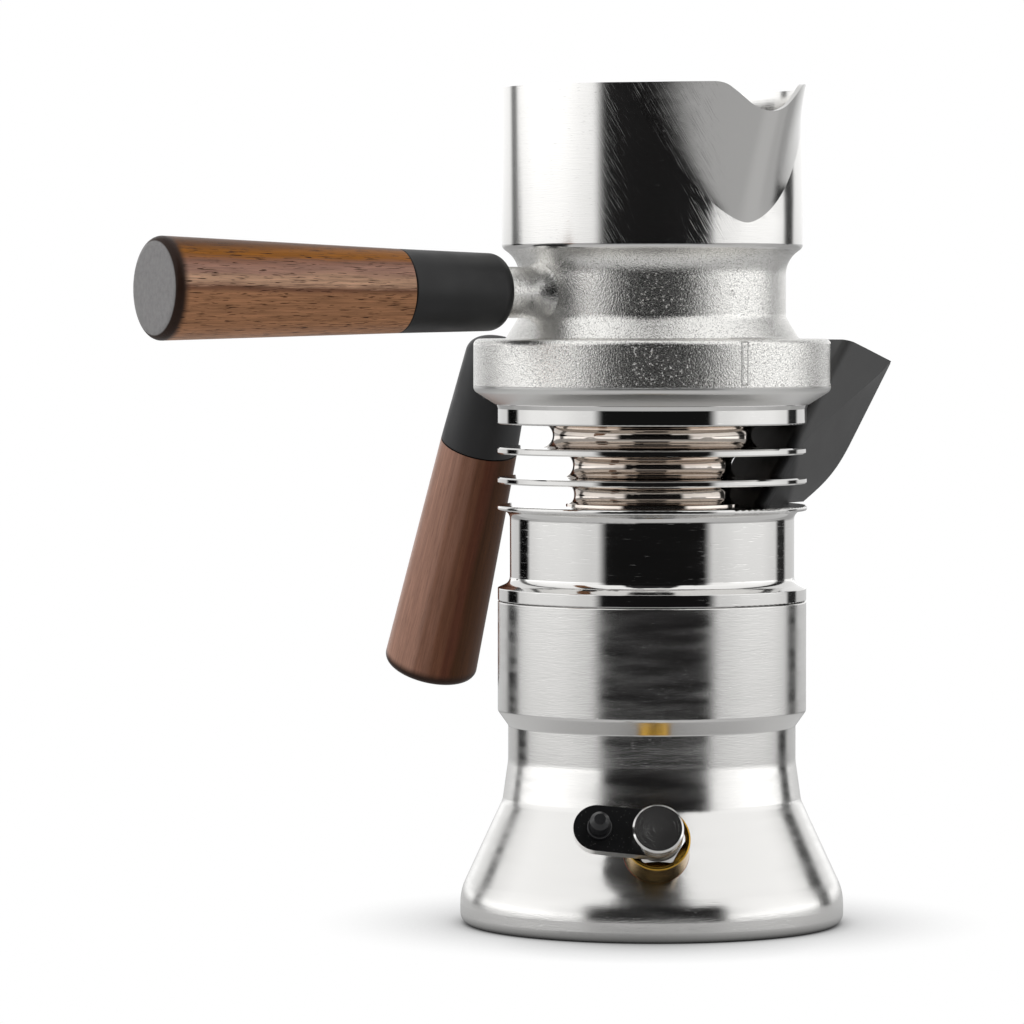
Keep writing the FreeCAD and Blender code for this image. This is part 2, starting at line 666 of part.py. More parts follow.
def fin_notches():
    """Blocks that cut a notch for the chute into each fin below the plate."""
    half = CHUTE_HALF_W + CHUTE_PLAY
    notches = []
    z = ROOF_Z
    for gap, core, thickness in HEAD_FINS[:-1]:
        z += gap
        back = chute_back_x(z - ROOF_Z) - CHUTE_PLAY
        notches.append(block(back, FIN_R + 1, -half, half, z - 1, z + thickness + 1))
        z += thickness
    return notches


def bracket_screw_shanks(play):
    """Upright cylinders where the bracket's screws pass, wider by a play."""
    y = RING_R + RING_CLEARANCE + BRACKET_SCREW_IN
    low = PLATE_Z + 1.0
    high = PLATE_TOP_Z + BRACKET_FOOT_T
    return [cylinder(BRACKET_SCREW_R + play, low, high, x=side * BRACKET_SCREW_X, y=y) for side in (-1, 1)]


def bracket_screws():
    """Two cap screws that hold the bracket on the head's lug."""
    top = PLATE_TOP_Z + BRACKET_FOOT_T
    y = RING_R + RING_CLEARANCE + BRACKET_SCREW_IN
    screws = []
    for side, shank in zip((-1, 1), bracket_screw_shanks(0)):
        x = side * BRACKET_SCREW_X
        head = cylinder(BRACKET_SCREW_HEAD_R, top, top + BRACKET_SCREW_HEAD_T, x=x, y=y)
        socket = hex_prism(3.0, top + 1.0, top + BRACKET_SCREW_HEAD_T + 1)
        socket.translate(Vector(x, y, 0))
        screws.append(shank.fuse(head).cut(socket))
    return Part.makeCompound(screws)


def mirrored(point):
    """Point on the other side of the XZ plane."""
    return Vector(point.x, -point.y, point.z)


def head_fittings():
    """O-ring, banjo and nut that fasten the head to the bath's roof."""
    banjo_z = CHAMBER_TOP_Z - BANJO_T
    ring = Part.makeTorus(O_RING_R, O_RING_WIRE - 0.02, Vector(0, 0, ROOF_Z + O_RING_WIRE))
    ring = ring.common(tube(O_RING_R + 2, O_RING_R - 2, ROOF_Z, ROOF_Z + 1.6 * O_RING_WIRE))
    banjo = tube(BANJO_R, STUB_R + SEAT_PLAY, banjo_z, CHAMBER_TOP_Z)
    port = coil_port(BANJO_R + 1, COIL_HIGH_Z, coil_exit_direction())
    banjo = banjo.cut(port)
    nut = hex_nut(HEAD_NUT_AF, STUB_R + SEAT_PLAY, -HEAD_NUT_T, 0)
    nut.translate(Vector(0, 0, banjo_z))
    return {"head_o_ring": ring, "coil_banjo": banjo, "head_nut": nut}


def coil_port(length, height, direction):
    """Level drill from the axis that takes an end of the coil."""
    return Part.makeCylinder(COIL_WIRE + SEAT_PLAY, length, Vector(0, 0, height), direction)


def coil_lead_angle():
    """Angle in radians over which the coil's end bends from the radial line onto its circle."""
    return math.asin(COIL_LEAD_IN / (COIL_R - COIL_LEAD_IN))


def coil_exit_direction():
    """Direction from the axis to the coil's upper end."""
    angle = 2 * coil_lead_angle()
    return Vector(math.cos(angle), math.sin(angle), 0)


def cooling_coil():
    """Tube from the union out to the coil, round it and back to the banjo."""
    lead = coil_lead_angle()
    pitch = (COIL_HIGH_Z - COIL_LOW_Z) / COIL_TURNS
    elbow_x = math.sqrt((COIL_R - COIL_LEAD_IN) ** 2 - COIL_LEAD_IN ** 2)
    elbow = Vector(elbow_x, 0, 0)
    half = -math.pi / 4 + lead / 2
    bend = Vector(elbow_x, COIL_LEAD_IN, 0) + Vector(math.cos(half), math.sin(half), 0) * COIL_LEAD_IN
    onto = FreeCAD.Rotation(UP, math.degrees(lead))
    off = FreeCAD.Rotation(UP, 2 * math.degrees(lead))
    entry = onto.multVec(Vector(COIL_R, 0, 0))
    low = Vector(0, 0, COIL_LOW_Z)
    high = Vector(0, 0, COIL_HIGH_Z)
    start = Vector(UNION_R - 1.0, 0, 0) + low
    inlet = [Part.LineSegment(start, elbow + low).toShape(),
             Part.Arc(elbow + low, bend + low, entry + low).toShape()]
    helix = helix_edges(COIL_R, pitch, COIL_LOW_Z, 0, COIL_TURNS)
    for edge in helix:
        edge.rotate(Vector(0, 0, 0), UP, math.degrees(lead))
    leave = off.multVec(elbow) + high
    end = off.multVec(Vector(STUB_R + 1.0, 0, 0)) + high
    outlet = [Part.Arc(entry + high, off.multVec(mirrored(bend)) + high, leave).toShape(),
              Part.LineSegment(leave, end).toShape()]
    return swept_round(inlet + helix + outlet, COIL_WIRE, start, Vector(1, 0, 0))


def riser():
    """Union through the bath's floor, its nut, and the riser tube down into the boiler."""
    body = turned([
        (UNION_SHANK_R, FLOOR_Z - UNION_SHANK_L), (UNION_SHANK_R, CHAMBER_Z), (UNION_R + 1.0, CHAMBER_Z),
        (UNION_R + 1.0, CHAMBER_Z + 1.0), (UNION_R, CHAMBER_Z + 1.0), (UNION_R, CHAMBER_Z + UNION_H, 0.6),
        (0, CHAMBER_Z + UNION_H), (0, CHAMBER_Z + UNION_H - 1.5), (RISER_R + SEAT_PLAY, CHAMBER_Z),
        (RISER_R + SEAT_PLAY, FLOOR_Z - UNION_SHANK_L)])
    port = coil_port(UNION_R + 2, COIL_LOW_Z, Vector(1, 0, 0))
    nut = hex_nut(UNION_NUT_AF, UNION_SHANK_R + SEAT_PLAY, -UNION_NUT_T, 0)
    nut.translate(Vector(0, 0, FLOOR_Z))
    foot = BASE_FLOOR + RISER_FOOT_GAP
    pipe = tube(RISER_R, RISER_R - RISER_WALL, foot, CHAMBER_Z)
    notch = Part.makeCylinder(RISER_NOTCH_R, 4 * RISER_R, Vector(-2 * RISER_R, 0, foot), Vector(1, 0, 0))
    return {"riser_union": body.cut(port), "union_nut": nut, "riser_tube": pipe.cut(notch)}


def brew_valve():
    """Valve in the head's core: body, sprung poppet and perforated cap."""
    low = WELL_Z - VALVE_L
    seat = low + VALVE_SEAT_T
    bore = VALVE_R - VALVE_WALL
    cap_z = WELL_Z - BREW_CAP_T
    disc_top = seat + BREW_DISC_T
    body = turned([
        (VALVE_PORT_R, low), (VALVE_R - SEAT_PLAY, low), (VALVE_R - SEAT_PLAY, WELL_Z), (bore, WELL_Z),
        (bore, seat), (VALVE_PORT_R, seat)])
    poppet = turned([
        (0, seat), (BREW_DISC_R, seat, 0.4), (BREW_DISC_R, disc_top), (BREW_STEM_R, disc_top),
        (BREW_STEM_R, disc_top + BREW_STEM_L, 0.4), (0, disc_top + BREW_STEM_L)])
    cap = tube(bore - SEAT_PLAY, BREW_STEM_R + SEAT_PLAY, cap_z, WELL_Z)
    hole = cylinder(BREW_CAP_HOLE_R, cap_z - 1, WELL_Z + 1, x=(bore + BREW_STEM_R) / 2)
    coil = spring(BREW_SPRING_R, BREW_SPRING_WIRE, disc_top, cap_z, BREW_SPRING_TURNS)
    return {"brew_valve_body": body, "brew_valve_poppet": poppet, "brew_valve_spring": coil,
            "brew_valve_cap": cap.cut(ring_of(hole, BREW_CAP_HOLES))}


def brewing_group():
    """Filter basket with its screen, the group gasket and the upper screen."""
    low = SPIGOT_Z - BASKET_DEPTH
    inner = BASKET_R - BASKET_WALL
    flange_z = SPIGOT_Z - BASKET_FLANGE_T
    basket = turned([
        (BASKET_R - BASKET_LIP, low), (BASKET_R, low, 1.2), (BASKET_R, flange_z), (BASKET_FLANGE_R, flange_z),
        (BASKET_FLANGE_R, SPIGOT_Z, 0.5), (inner, SPIGOT_Z, 0.5), (inner, low + BASKET_WALL),
        (BASKET_R - BASKET_LIP, low + BASKET_WALL)])
    screen_z = low + BASKET_WALL
    gasket_z = SPIGOT_Z + THREAD_PLAY
    gasket = turned([
        (GROUP_GASKET_R, gasket_z, 0.6), (RING_BORE_R - SEAT_PLAY, gasket_z, 0.6),
        (RING_BORE_R - SEAT_PLAY, SEAT_Z, 0.3), (GROUP_GASKET_R, SEAT_Z, 0.3)])
    return {
        "filter_basket": basket,
        "basket_screen": perforated_disc(inner - SEAT_PLAY, screen_z, screen_z + SCREEN_T),
        "group_gasket": gasket,
        "upper_screen": perforated_disc(GROUP_GASKET_R - SEAT_PLAY, SEAT_Z - SCREEN_T, SEAT_Z)}


def spout_section(share, wall):
    """Closed section of the spout at a share of its height: one curve that leaves the cup's side and a chord."""
    height = SPOUT_Z + SPOUT_H * share
    cup_r = CUP_FOOT_R + (CUP_R - CUP_FOOT_R) * (height - CUP_Z) / CUP_H - wall - SPOUT_BLEND
    half = math.radians(SPOUT_HALF_ANGLE * share ** SPOUT_ANGLE_POWER)
    tip_x = cup_r + SPOUT_REACH * share ** SPOUT_REACH_POWER
    near = Vector(cup_r * math.cos(half), cup_r * math.sin(half), height)
    side = near + Vector(math.sin(half), -math.cos(half), 0) * SPOUT_FULLNESS * cup_r * math.tan(half)
    nose = Vector((16 * tip_x - 2 * near.x - 8 * side.x) / 6, 0, height)
    curve = Part.BezierCurve()
    curve.setPoles([near, side, nose, mirrored(side), mirrored(near)])
    return Part.Wire([curve.toShape(), Part.LineSegment(mirrored(near), near).toShape()])


def spout_solid(wall):
    """Spout as a loft that swells from just inside the cup's side to the rim."""
    start = (0.9 * SPOUT_BLEND / SPOUT_REACH) ** (1 / SPOUT_REACH_POWER)
    end = 1 + 1 / SPOUT_H
    last = SPOUT_SECTIONS - 1
    shares = [start + (end - start) * (step / last) ** 1.5 for step in range(SPOUT_SECTIONS)]
    loft = Part.makeLoft([spout_section(share, wall) for share in shares], True, False)
    loft.rotate(Vector(0, 0, 0), UP, SPOUT_AZIMUTH)
    return loft


def lip_cutter():
    """What is cut away above the rim, with the spout's dipped lip."""
    wide = 2 * RING_R
    above = CUP_RIM_Z + 20
    face = Part.Face(outline([
        (-wide, CUP_RIM_Z), (-LIP_HALF, CUP_RIM_Z, LIP_CUSP), (0, CUP_RIM_Z - LIP_DROP, LIP_ROUND),
        (LIP_HALF, CUP_RIM_Z, LIP_CUSP), (wide, CUP_RIM_Z), (wide, above), (-wide, above)]))
    cutter = face.extrude(Vector(0, 2 * RING_R, 0))
    cutter.rotate(Vector(0, 0, 0), UP, SPOUT_AZIMUTH - 90)
    return cutter


def along_handle(shape, origin, direction):
    """Copy of an upright shape turned to point along a handle from its inner end."""
    return moved_copy(shape, FreeCAD.Placement(origin, FreeCAD.Rotation(UP, direction)))


def jug_handle_frame():
    """Inner end and direction of the jug's handle."""
    tilt = math.radians(JUG_HANDLE_TILT)
    return Vector(-JUG_HANDLE_AT, 0, JUG_HANDLE_Z), Vector(-math.cos(tilt), 0, math.sin(tilt))


def boiler_handle_frame():
    """Inner end and direction of the boiler's handle."""
    tilt = math.radians(BOILER_HANDLE_TILT)
    origin = Vector(0, BOILER_HANDLE_Y, PLATE_TOP_Z + BOILER_HANDLE_RISE)
    return origin, Vector(0, math.sin(tilt), -math.cos(tilt))


def jug():
    """Cast ring and neck with a drawn cup, its spout and the handle's stub."""
    outside = turned([
        (0, RING_Z), (RING_BORE_R + RING_FOOT, RING_Z), (RING_R, RING_Z + RING_BEVEL_H, RING_BEVEL_ROUND),
        (RING_R, RING_TOP_Z, RING_EDGE), (NECK_FOOT_R, RING_TOP_Z, 1.0),
        (NECK_R, RING_TOP_Z + NECK_FLARE_H, NECK_FLARE_ROUND), (NECK_R, NECK_TOP_Z, NECK_COVE),
        (CUP_FOOT_R, CUP_Z, CUP_EDGE), (CUP_R, CUP_RIM_Z), (0, CUP_RIM_Z)])
    origin, direction = jug_handle_frame()
    body = outside.fuse([spout_solid(0.0), along_handle(handle_stub(), origin, direction)])
    inner_neck = NECK_R - NECK_WALL
    cavity = turned([
        (0, JUG_FLOOR_Z), (inner_neck, JUG_FLOOR_Z, 3.0), (inner_neck, NECK_TOP_Z + 1.2, 10.0),
        (CUP_FOOT_R - CUP_WALL, CUP_Z + 1.9, 3.2), (CUP_R - CUP_WALL, CUP_RIM_Z + 2), (0, CUP_RIM_Z + 2)])
    thread_r = COLUMN_THREAD_R + SEAT_PLAY
    underside = turned([
        (0, RING_Z - 1), (RING_BORE_R, RING_Z - 1), (RING_BORE_R, SEAT_Z), (FUNNEL_R, SEAT_Z),
        (FUNNEL_R, SEAT_Z + FUNNEL_H), (thread_r, JUG_FLOOR_Z - JUG_FLOOR_T), (thread_r, JUG_FLOOR_Z + 1),
        (0, JUG_FLOOR_Z + 1)])
    rod_hole = along_handle(cylinder(ROD_R + SEAT_PLAY, -ROD_IN_STUB, STUB_TENON + 1), origin, direction)
    return body.cut([cavity, spout_solid(CUP_WALL), underside, rod_hole, lip_cutter(), ring_pad()])


def handle_stub():
    """Stub about +Z that carries the handle, with one arc that flares it into the neck."""
    gain = STUB_FLARE_R - STUB_RADIUS
    turn = 2 * math.atan(gain / STUB_FLARE_L)
    radius = STUB_FLARE_L / math.sin(turn) - SEAT_PLAY
    corner_z = gain / math.tan(turn) - STUB_ROOT
    return turned([
        (0, -STUB_ROOT), (STUB_FLARE_R, -STUB_ROOT), (STUB_RADIUS, corner_z, radius),
        (STUB_RADIUS, STUB_TENON, 0.5), (0, STUB_TENON)])


def ring_pad():
    """Shallow sector cut in the ring's side, between two of the casting's parting lines."""
    low = RING_Z + RING_BEVEL_H + RING_PAD_INSET
    high = RING_TOP_Z - RING_PAD_INSET
    inner = RING_R - RING_PAD_DEPTH
    outer = RING_R + 1
    face = Part.Face(outline([(inner, low), (outer, low), (outer, high), (inner, high)]))
    sector = face.revolve(Vector(0, 0, 0), UP, RING_PAD_ANGLE)
    sector.rotate(Vector(0, 0, 0), UP, RING_PAD_START)
    return sector


def coffee_column():
    """Column screwed into the jug's floor, and its cap with side outlets."""
    top = JUG_FLOOR_Z + COLUMN_H
    column = turned([
        (COLUMN_BORE_R, JUG_FLOOR_Z - JUG_FLOOR_T), (COLUMN_THREAD_R, JUG_FLOOR_Z - JUG_FLOOR_T),
        (COLUMN_THREAD_R, JUG_FLOOR_Z), (COLUMN_FLANGE_R, JUG_FLOOR_Z),
        (COLUMN_FLANGE_R, JUG_FLOOR_Z + COLUMN_FLANGE_T, 0.8), (COLUMN_R, JUG_FLOOR_Z + COLUMN_FLANGE_T, 1.0),
        (COLUMN_TIP_R, top), (COLUMN_BORE_R, top)])
    outlet = Part.makeCylinder(COLUMN_OUTLET_R, 2 * COLUMN_R, Vector(0, 0, top - 2.5), Vector(1, 0, 0))
    column = column.cut(ring_of(outlet, COLUMN_OUTLETS))
    skirt_r = COLUMN_CAP_R - COLUMN_CAP_WALL
    cap = turned([
        (0, top), (COLUMN_TIP_R + 0.4, top), (skirt_r, top - 1.5, 0.8), (skirt_r, top - COLUMN_CAP_H + 2.0),
        (COLUMN_CAP_R, top - COLUMN_CAP_H + 2.0), (COLUMN_CAP_R, top, 2.5), (0, top + 2.0)])
    return {"coffee_column": column, "column_cap": cap}


def ferrule(bore, depth):
    """Ferrule about +Z with its inner end at 0, bored for a tenon and for the rod."""
    rod_hole = ROD_R + SEAT_PLAY
    return turned([
        (bore, 0), (FERRULE_R, 0, FERRULE_ROUND), (FERRULE_END_R, FERRULE_L, FERRULE_EDGE),
        (rod_hole, FERRULE_L), (rod_hole, depth), (bore, depth)])


def grip():
    """Tapered wooden grip about +Z with a blind hole for the rod."""
    low = FERRULE_L + SEAT_PLAY
    end = FERRULE_L + GRIP_L
    rod_hole = ROD_R + SEAT_PLAY
    return turned([
        (rod_hole, low), (FERRULE_END_R, low, FERRULE_EDGE), (GRIP_R, end, GRIP_ROUND), (0, end),
        (0, end - GRIP_END_WALL), (rod_hole, end - GRIP_END_WALL)])


def rod(start):
    """Steel rod about +Z that ties a grip to what carries it."""
    return cylinder(ROD_R, start, FERRULE_L + GRIP_L - GRIP_END_WALL - 0.5)


def jug_handle():
    """Ferrule, grip and rod of the jug."""
    origin, direction = jug_handle_frame()
    pieces = {"jug_ferrule": ferrule(STUB_RADIUS + SEAT_PLAY, STUB_TENON + 0.2), "jug_grip": grip(),
              "jug_rod": rod(-ROD_IN_STUB)}
    return {name: along_handle(piece, origin, direction) for name, piece in pieces.items()}


def boiler_handle():
    """Bracket moulded with its ferrule, grip and rod of the boiler's handle."""
    origin, direction = boiler_handle_frame()
    foot_y = RING_R + RING_CLEARANCE
    foot_top = PLATE_TOP_Z + BRACKET_FOOT_T
    heel_y = foot_y + BRACKET_FOOT_L
    inner = origin + direction * BRACKET_ARM_IN
    outer = origin + direction * BRACKET_ARM_OUT
    side = Part.Face(outline_yz([
        (foot_y, PLATE_TOP_Z), (heel_y + BRACKET_HEEL_OUT, PLATE_TOP_Z, BRACKET_HEEL_ROUND),
        (outer.y, outer.z), (inner.y, inner.z), (inner.y - BRACKET_NECK_L, inner.z, BRACKET_INNER_ROUND),
        (heel_y - BRACKET_HEEL_IN, foot_top, BRACKET_INNER_ROUND), (foot_y, foot_top, 1.0)]))
    side.translate(Vector(-BRACKET_HALF_W, 0, 0))
    arm = side.extrude(Vector(2 * BRACKET_HALF_W, 0, 0))
    solid_ferrule = turned([
        (0, 0), (BRACKET_FERRULE_R, 0, FERRULE_ROUND), (FERRULE_END_R, FERRULE_L, FERRULE_EDGE),
        (0, FERRULE_L)])
    body = arm.fuse(along_handle(solid_ferrule, origin, direction))
    rod_start = 0.1 * FERRULE_L
    hole = along_handle(cylinder(ROD_R + SEAT_PLAY, rod_start, FERRULE_L + 1), origin, direction)
    bracket = body.cut([hole] + bracket_screw_shanks(2 * SEAT_PLAY))
    return {"handle_bracket": bracket, "boiler_grip": along_handle(grip(), origin, direction),
            "boiler_rod": along_handle(rod(rod_start), origin, direction)}


def outline_yz(corners):
    """Closed wire in the YZ plane through (y, z) or (y, z, corner radius) corners."""
    wire = outline(corners)
    wire.rotate(Vector(0, 0, 0), UP, 90)
    return wire


def chute_section(height, grow):
    """Level section of the chute at a height over the roof fin, grown outwards or, if negative, inwards."""
    back_x = chute_back_x(height)
    keel_x = chute_keel_x(height)
    crease_x = FIN_R - CHUTE_CREASE_IN + CHUTE_CREASE_SLOPE * (height - CHUTE_CREASE_H)
    crease_x = min(max(crease_x, back_x + CHUTE_SHOULDER), keel_x - CHUTE_NOSE)
    direct = CHUTE_HALF_W * (keel_x - crease_x) / (keel_x - back_x)
    crease_y = direct + CHUTE_BULGE * (height / CHUTE_TIP_H) ** 2 + 0.2
    corners = [(back_x, -CHUTE_HALF_W), (crease_x, -crease_y), (keel_x, 0), (crease_x, crease_y),
               (back_x, CHUTE_HALF_W)]
    if grow:
        corners = inset(corners[-1:] + corners + corners[:1], -grow)[1:-1]
    back_round = CHUTE_BACK_ROUND + grow
    wire = outline([(*corners[0], back_round), *corners[1:-1], (*corners[-1], back_round)])
    wire.rotate(Vector(0, 0, 0), Vector(1, 0, 0), -90)
    wire.translate(Vector(0, 0, ROOF_Z + height))
    return wire


def chute_back_x(height):
    """How far the back wall stands from the axis at a height over the roof fin."""
    return CHUTE_BACK_X + (CHUTE_BACK_TOP_X - CHUTE_BACK_X) * height / CHUTE_H


def chute_keel_x(height):
    """How far the keel stands from the axis at a height over the roof fin: straight, and an arc at its foot."""
    lean = math.atan2(CHUTE_TIP_X - CHUTE_BEND_X, CHUTE_TIP_H - CHUTE_BEND_H)
    if height >= CHUTE_BEND_H:
        return CHUTE_BEND_X + (height - CHUTE_BEND_H) * math.tan(lean)
    run = CHUTE_BEND_X - CHUTE_KEEL_X
    chord = math.atan2(run, CHUTE_BEND_H)
    radius = math.hypot(run, CHUTE_BEND_H) / (2 * math.sin(chord - lean))
    centre_x = CHUTE_BEND_X - radius * math.cos(lean)
    drop = CHUTE_BEND_H + radius * math.sin(lean) - height
    return centre_x + math.sqrt(radius ** 2 - drop ** 2)


def chute_outside(grow):
    """Chute's outer form up to its sloping mouth, grown by a play, clear of the plate and the ring."""
    step = (CHUTE_H + 2) / (CHUTE_SECTIONS - 1)
    heights = [step * index for index in range(CHUTE_SECTIONS)]
    form = Part.makeLoft([chute_section(height, grow) for height in heights], True, False)
    clear = RING_R + RING_CLEARANCE - grow
    plate = PLATE_R + PLATE_LIP + CHUTE_PLAY - grow
    low = ROOF_Z + max(-grow, 0)
    under = grow - CHUTE_PLAY
    ring_top = RING_TOP_Z + CHUTE_RING_RISE
    form = form.cut(turned([
        (0, PLATE_Z + under), (plate, PLATE_Z + under), (plate, PLATE_TOP_Z + under),
        (clear, RING_Z + RING_BEVEL_H + under), (clear, ring_top), (0, ring_top)]))
    if low > ROOF_Z:
        form = form.cut(block(0, 2 * RING_R, -RING_R, RING_R, ROOF_Z - 1, low))
    return form


def chute():
    """Moulded filler chute: walls, sloping mouth, and floor with the port and screw holes."""
    top = ROOF_Z + CHUTE_H
    tip = (CHUTE_TIP_X, ROOF_Z + CHUTE_TIP_H)
    mouth = Part.Face(outline([
        (0, top), (CHUTE_BACK_TOP_X, top), tip, (CHUTE_TIP_X + 20, tip[1] - CHUTE_MOUTH_FALL),
        (CHUTE_TIP_X + 20, top + 20), (0, top + 20)]))
    mouth.translate(Vector(0, -2 * CHUTE_HALF_W, 0))
    above = mouth.extrude(Vector(0, 4 * CHUTE_HALF_W, 0))
    shell = chute_outside(0.0).cut([chute_outside(-CHUTE_WALL), above])
    holes = [cylinder(CHUTE_PORT_R, ROOF_Z - 1, ROOF_Z + CHUTE_WALL + 1, x=CHUTE_PORT_X)]
    for side in (-1, 1):
        holes.append(cylinder(CHUTE_SCREW_R + SEAT_PLAY, ROOF_Z - 1, ROOF_Z + CHUTE_WALL + 1,
                              x=CHUTE_PORT_X, y=side * CHUTE_SCREW_Y))
    return shell.cut(holes)


def chute_screws():
    """Two screws that hold the chute's floor on the bath's roof."""
    top = ROOF_Z + CHUTE_WALL
    screws = []
    for side in (-1, 1):
        y = side * CHUTE_SCREW_Y
        shank = cylinder(CHUTE_SCREW_R, top - CHUTE_SCREW_L, top, x=CHUTE_PORT_X, y=y)
        head = cylinder(CHUTE_SCREW_HEAD_R, top, top + CHUTE_SCREW_HEAD_T, x=CHUTE_PORT_X, y=y)
        screws.append(shank.fuse(head))
    return Part.makeCompound(screws)


def boiler_gasket():
    """Flat gasket on the base's ledge, under the skirt."""
    inner = WAIST_R - BASE_WALL + 4 * SEAT_PLAY
    return tube(BORE_R - 2 * SEAT_PLAY, inner, LEDGE_Z, SKIRT_Z)


def whole_pot():
    """Every piece by its node's name."""
    pieces = {"boiler_base": boiler_base(), "boiler_gasket": boiler_gasket(), "bath_shell": bath_shell(),
              "bath_floor": bath_floor(), "boiler_head": boiler_head(), "cooling_coil": cooling_coil(),
              "filler_chute": chute(), "chute_screws": chute_screws(), "bracket_screws": bracket_screws(),
              "jug": jug()}
    for group in (relief_valve, head_fittings, riser, brew_valve, brewing_group, coffee_column, jug_handle,
                  boiler_handle):
        pieces.update(group())
    return pieces


os.makedirs("parts", exist_ok=True)
for node, piece in whole_pot().items():
    piece.exportStep("parts/" + node + ".step")
    print(node, piece.isValid(), len(piece.Solids), round(piece.Volume / 1000, 3))
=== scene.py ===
"""Looks of a stovetop espresso maker: turned and cast steel, brass, black mouldings and walnut grips."""
import logging
import math
from abc import ABC, abstractmethod
from dataclasses import dataclass
from enum import Enum

import bpy
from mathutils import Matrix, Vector


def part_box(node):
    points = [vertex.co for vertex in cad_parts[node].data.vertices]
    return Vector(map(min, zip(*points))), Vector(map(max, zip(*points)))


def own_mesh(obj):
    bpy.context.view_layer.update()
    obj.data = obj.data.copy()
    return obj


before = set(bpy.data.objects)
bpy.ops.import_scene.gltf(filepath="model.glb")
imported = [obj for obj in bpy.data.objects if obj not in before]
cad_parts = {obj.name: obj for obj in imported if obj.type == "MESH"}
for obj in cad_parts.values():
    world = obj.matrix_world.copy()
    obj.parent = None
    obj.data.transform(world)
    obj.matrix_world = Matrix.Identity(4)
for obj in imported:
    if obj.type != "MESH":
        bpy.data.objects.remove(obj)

log = logging.getLogger("espresso_maker")

MM = 0.001
UP = (0.0, 0.0, 1.0)
FLAT = (1.0, 1.0, 0.0)

# Inputs of the Mix node by number, because its numbers and its colours share their names.
MIX_FACTOR, NUMBER_A, NUMBER_B, COLOUR_A, COLOUR_B = 0, 2, 3, 6, 7
COLOUR_MIX = {"out": 2, "data_type": "RGBA"}

# Most of a noise's values lie between these.
NOISE_LOW, NOISE_HIGH = 0.3, 0.7

Socket = bpy.types.NodeSocket
Tree = bpy.types.NodeTree


class Ray(Enum):
    """Kinds of ray that see the studio's white background instead of its light level."""

    CAMERA = "Is Camera Ray"
    TRANSMISSION = "Is Transmission Ray"


class Shade(Enum):
    """Colours of the object's surfaces and of the studio, in sRGB hex."""

    WHITE = "#ffffff"
    BLACK = "#000000"
    STAINLESS = "#dcdbd9"
    WARM_STEEL = "#d9d0c8"
    CAST_STEEL = "#eae9e6"
    CAST_PIT = "#65625e"
    BRASS = "#c49b45"
    BLACK_STEEL = "#0b0b0d"
    BLACK_COAT = "#1b1b1d"
    BLACK_FERRULE = "#121213"
    MOULDED_BLACK = "#4a4a4a"
    DUST = "#8d8d8a"
    WALNUT_DARK = "#4b2e1a"
    WALNUT_DEEP = "#633a2a"
    WALNUT_MID = "#784f3b"
    WALNUT_BROWN = "#956b58"
    WALNUT_TAN = "#b07e5b"
    WALNUT_ROSE = "#ac8371"
    WALNUT_PALE = "#cba184"
    WALNUT_GOLD = "#9b601c"
    WALNUT_UMBER = "#61380c"
    WALNUT_PORE = "#2e170c"
    WALNUT_RIM = "#33241d"
    # Painted reflection: the grey of the grips' end faces, where the white panels mirror.
    WALNUT_END = "#979595"
    SILICONE = "#b5442f"


def linear(shade: Shade) -> tuple[float, float, float, float]:
    """Turns an sRGB hex colour into the linear colour that a shader takes.

    Args:
        shade: the colour to turn.

    Returns:
        Linear red, green, blue and an alpha of 1.
    """
    code = shade.value.lstrip("#")
    parts = [int(code[start:start + 2], 16) / 255 for start in (0, 2, 4)]
    red, green, blue = (
        part / 12.92 if part <= 0.04045 else ((part + 0.055) / 1.055) ** 2.4 for part in parts)
    return red, green, blue, 1.0


def add(tree: Tree, kind: str, inputs: dict | None = None, out: str | int = 0, **settings: object) -> Socket:
    """Adds one node to a tree, with its settings, its values and its links.

    Args:
        tree: the node tree that takes the node.
        kind: the node's type name.
        inputs: values, or the sockets to link from, by input name or number.
        out: the output to hand back, by name or number.
        settings: the node's own options.

    Returns:
        The chosen output socket.
    """
    node = tree.nodes.new(kind)
    for name, value in settings.items():
        setattr(node, name, value)
    for key, value in (inputs or {}).items():
        if isinstance(value, bpy.types.NodeSocket):
            tree.links.new(value, node.inputs[key])
        else:
            node.inputs[key].default_value = value
    return node.outputs[out]


def between(tree: Tree, value: Socket, low: float, high: float, soft: float) -> Socket:
    """Makes a mask that is 1 where a value lies between two limits, one of which may be infinite.

    Args:
        tree: the node tree to add to.
        value: the value to test.
        low: the lower limit.
        high: the upper limit.
        soft: half the width of each soft edge.

    Returns:
        The mask's socket.
    """
    edges = [
        add(tree, "ShaderNodeMapRange", {"Value": value, "From Min": limit - half, "From Max": limit + half},
            interpolation_type="SMOOTHSTEP")
        for limit, half in ((low, soft), (high, -soft)) if math.isfinite(limit)]
    if len(edges) == 1:
        return edges[0]
    return add(tree, "ShaderNodeMath", {0: edges[0], 1: edges[1]}, operation="MULTIPLY")


def stretched(tree: Tree, coords: Socket, across_mm: float, along_mm: float) -> Socket:
    """Scales coordinates so that a noise of scale 1 has cells of a real size, long along Z.

    Args:
        tree: the node tree to add to.
        coords: coordinates in metres.
        across_mm: the cells' size along X and Y.
        along_mm: the cells' size along Z.

    Returns:
        The scaled coordinates.
    """
    scale = (1 / (across_mm * MM), 1 / (across_mm * MM), 1 / (along_mm * MM))
    return add(tree, "ShaderNodeVectorMath", {0: coords, 1: scale}, operation="MULTIPLY")


def from_axis(tree: Tree, coords: Socket) -> Socket:
    """Gives each point's distance from the coordinates' Z axis."""
    flat = add(tree, "ShaderNodeVectorMath", {0: coords, 1: FLAT}, operation="MULTIPLY")
    return add(tree, "ShaderNodeVectorMath", {0: flat}, out="Value", operation="LENGTH")


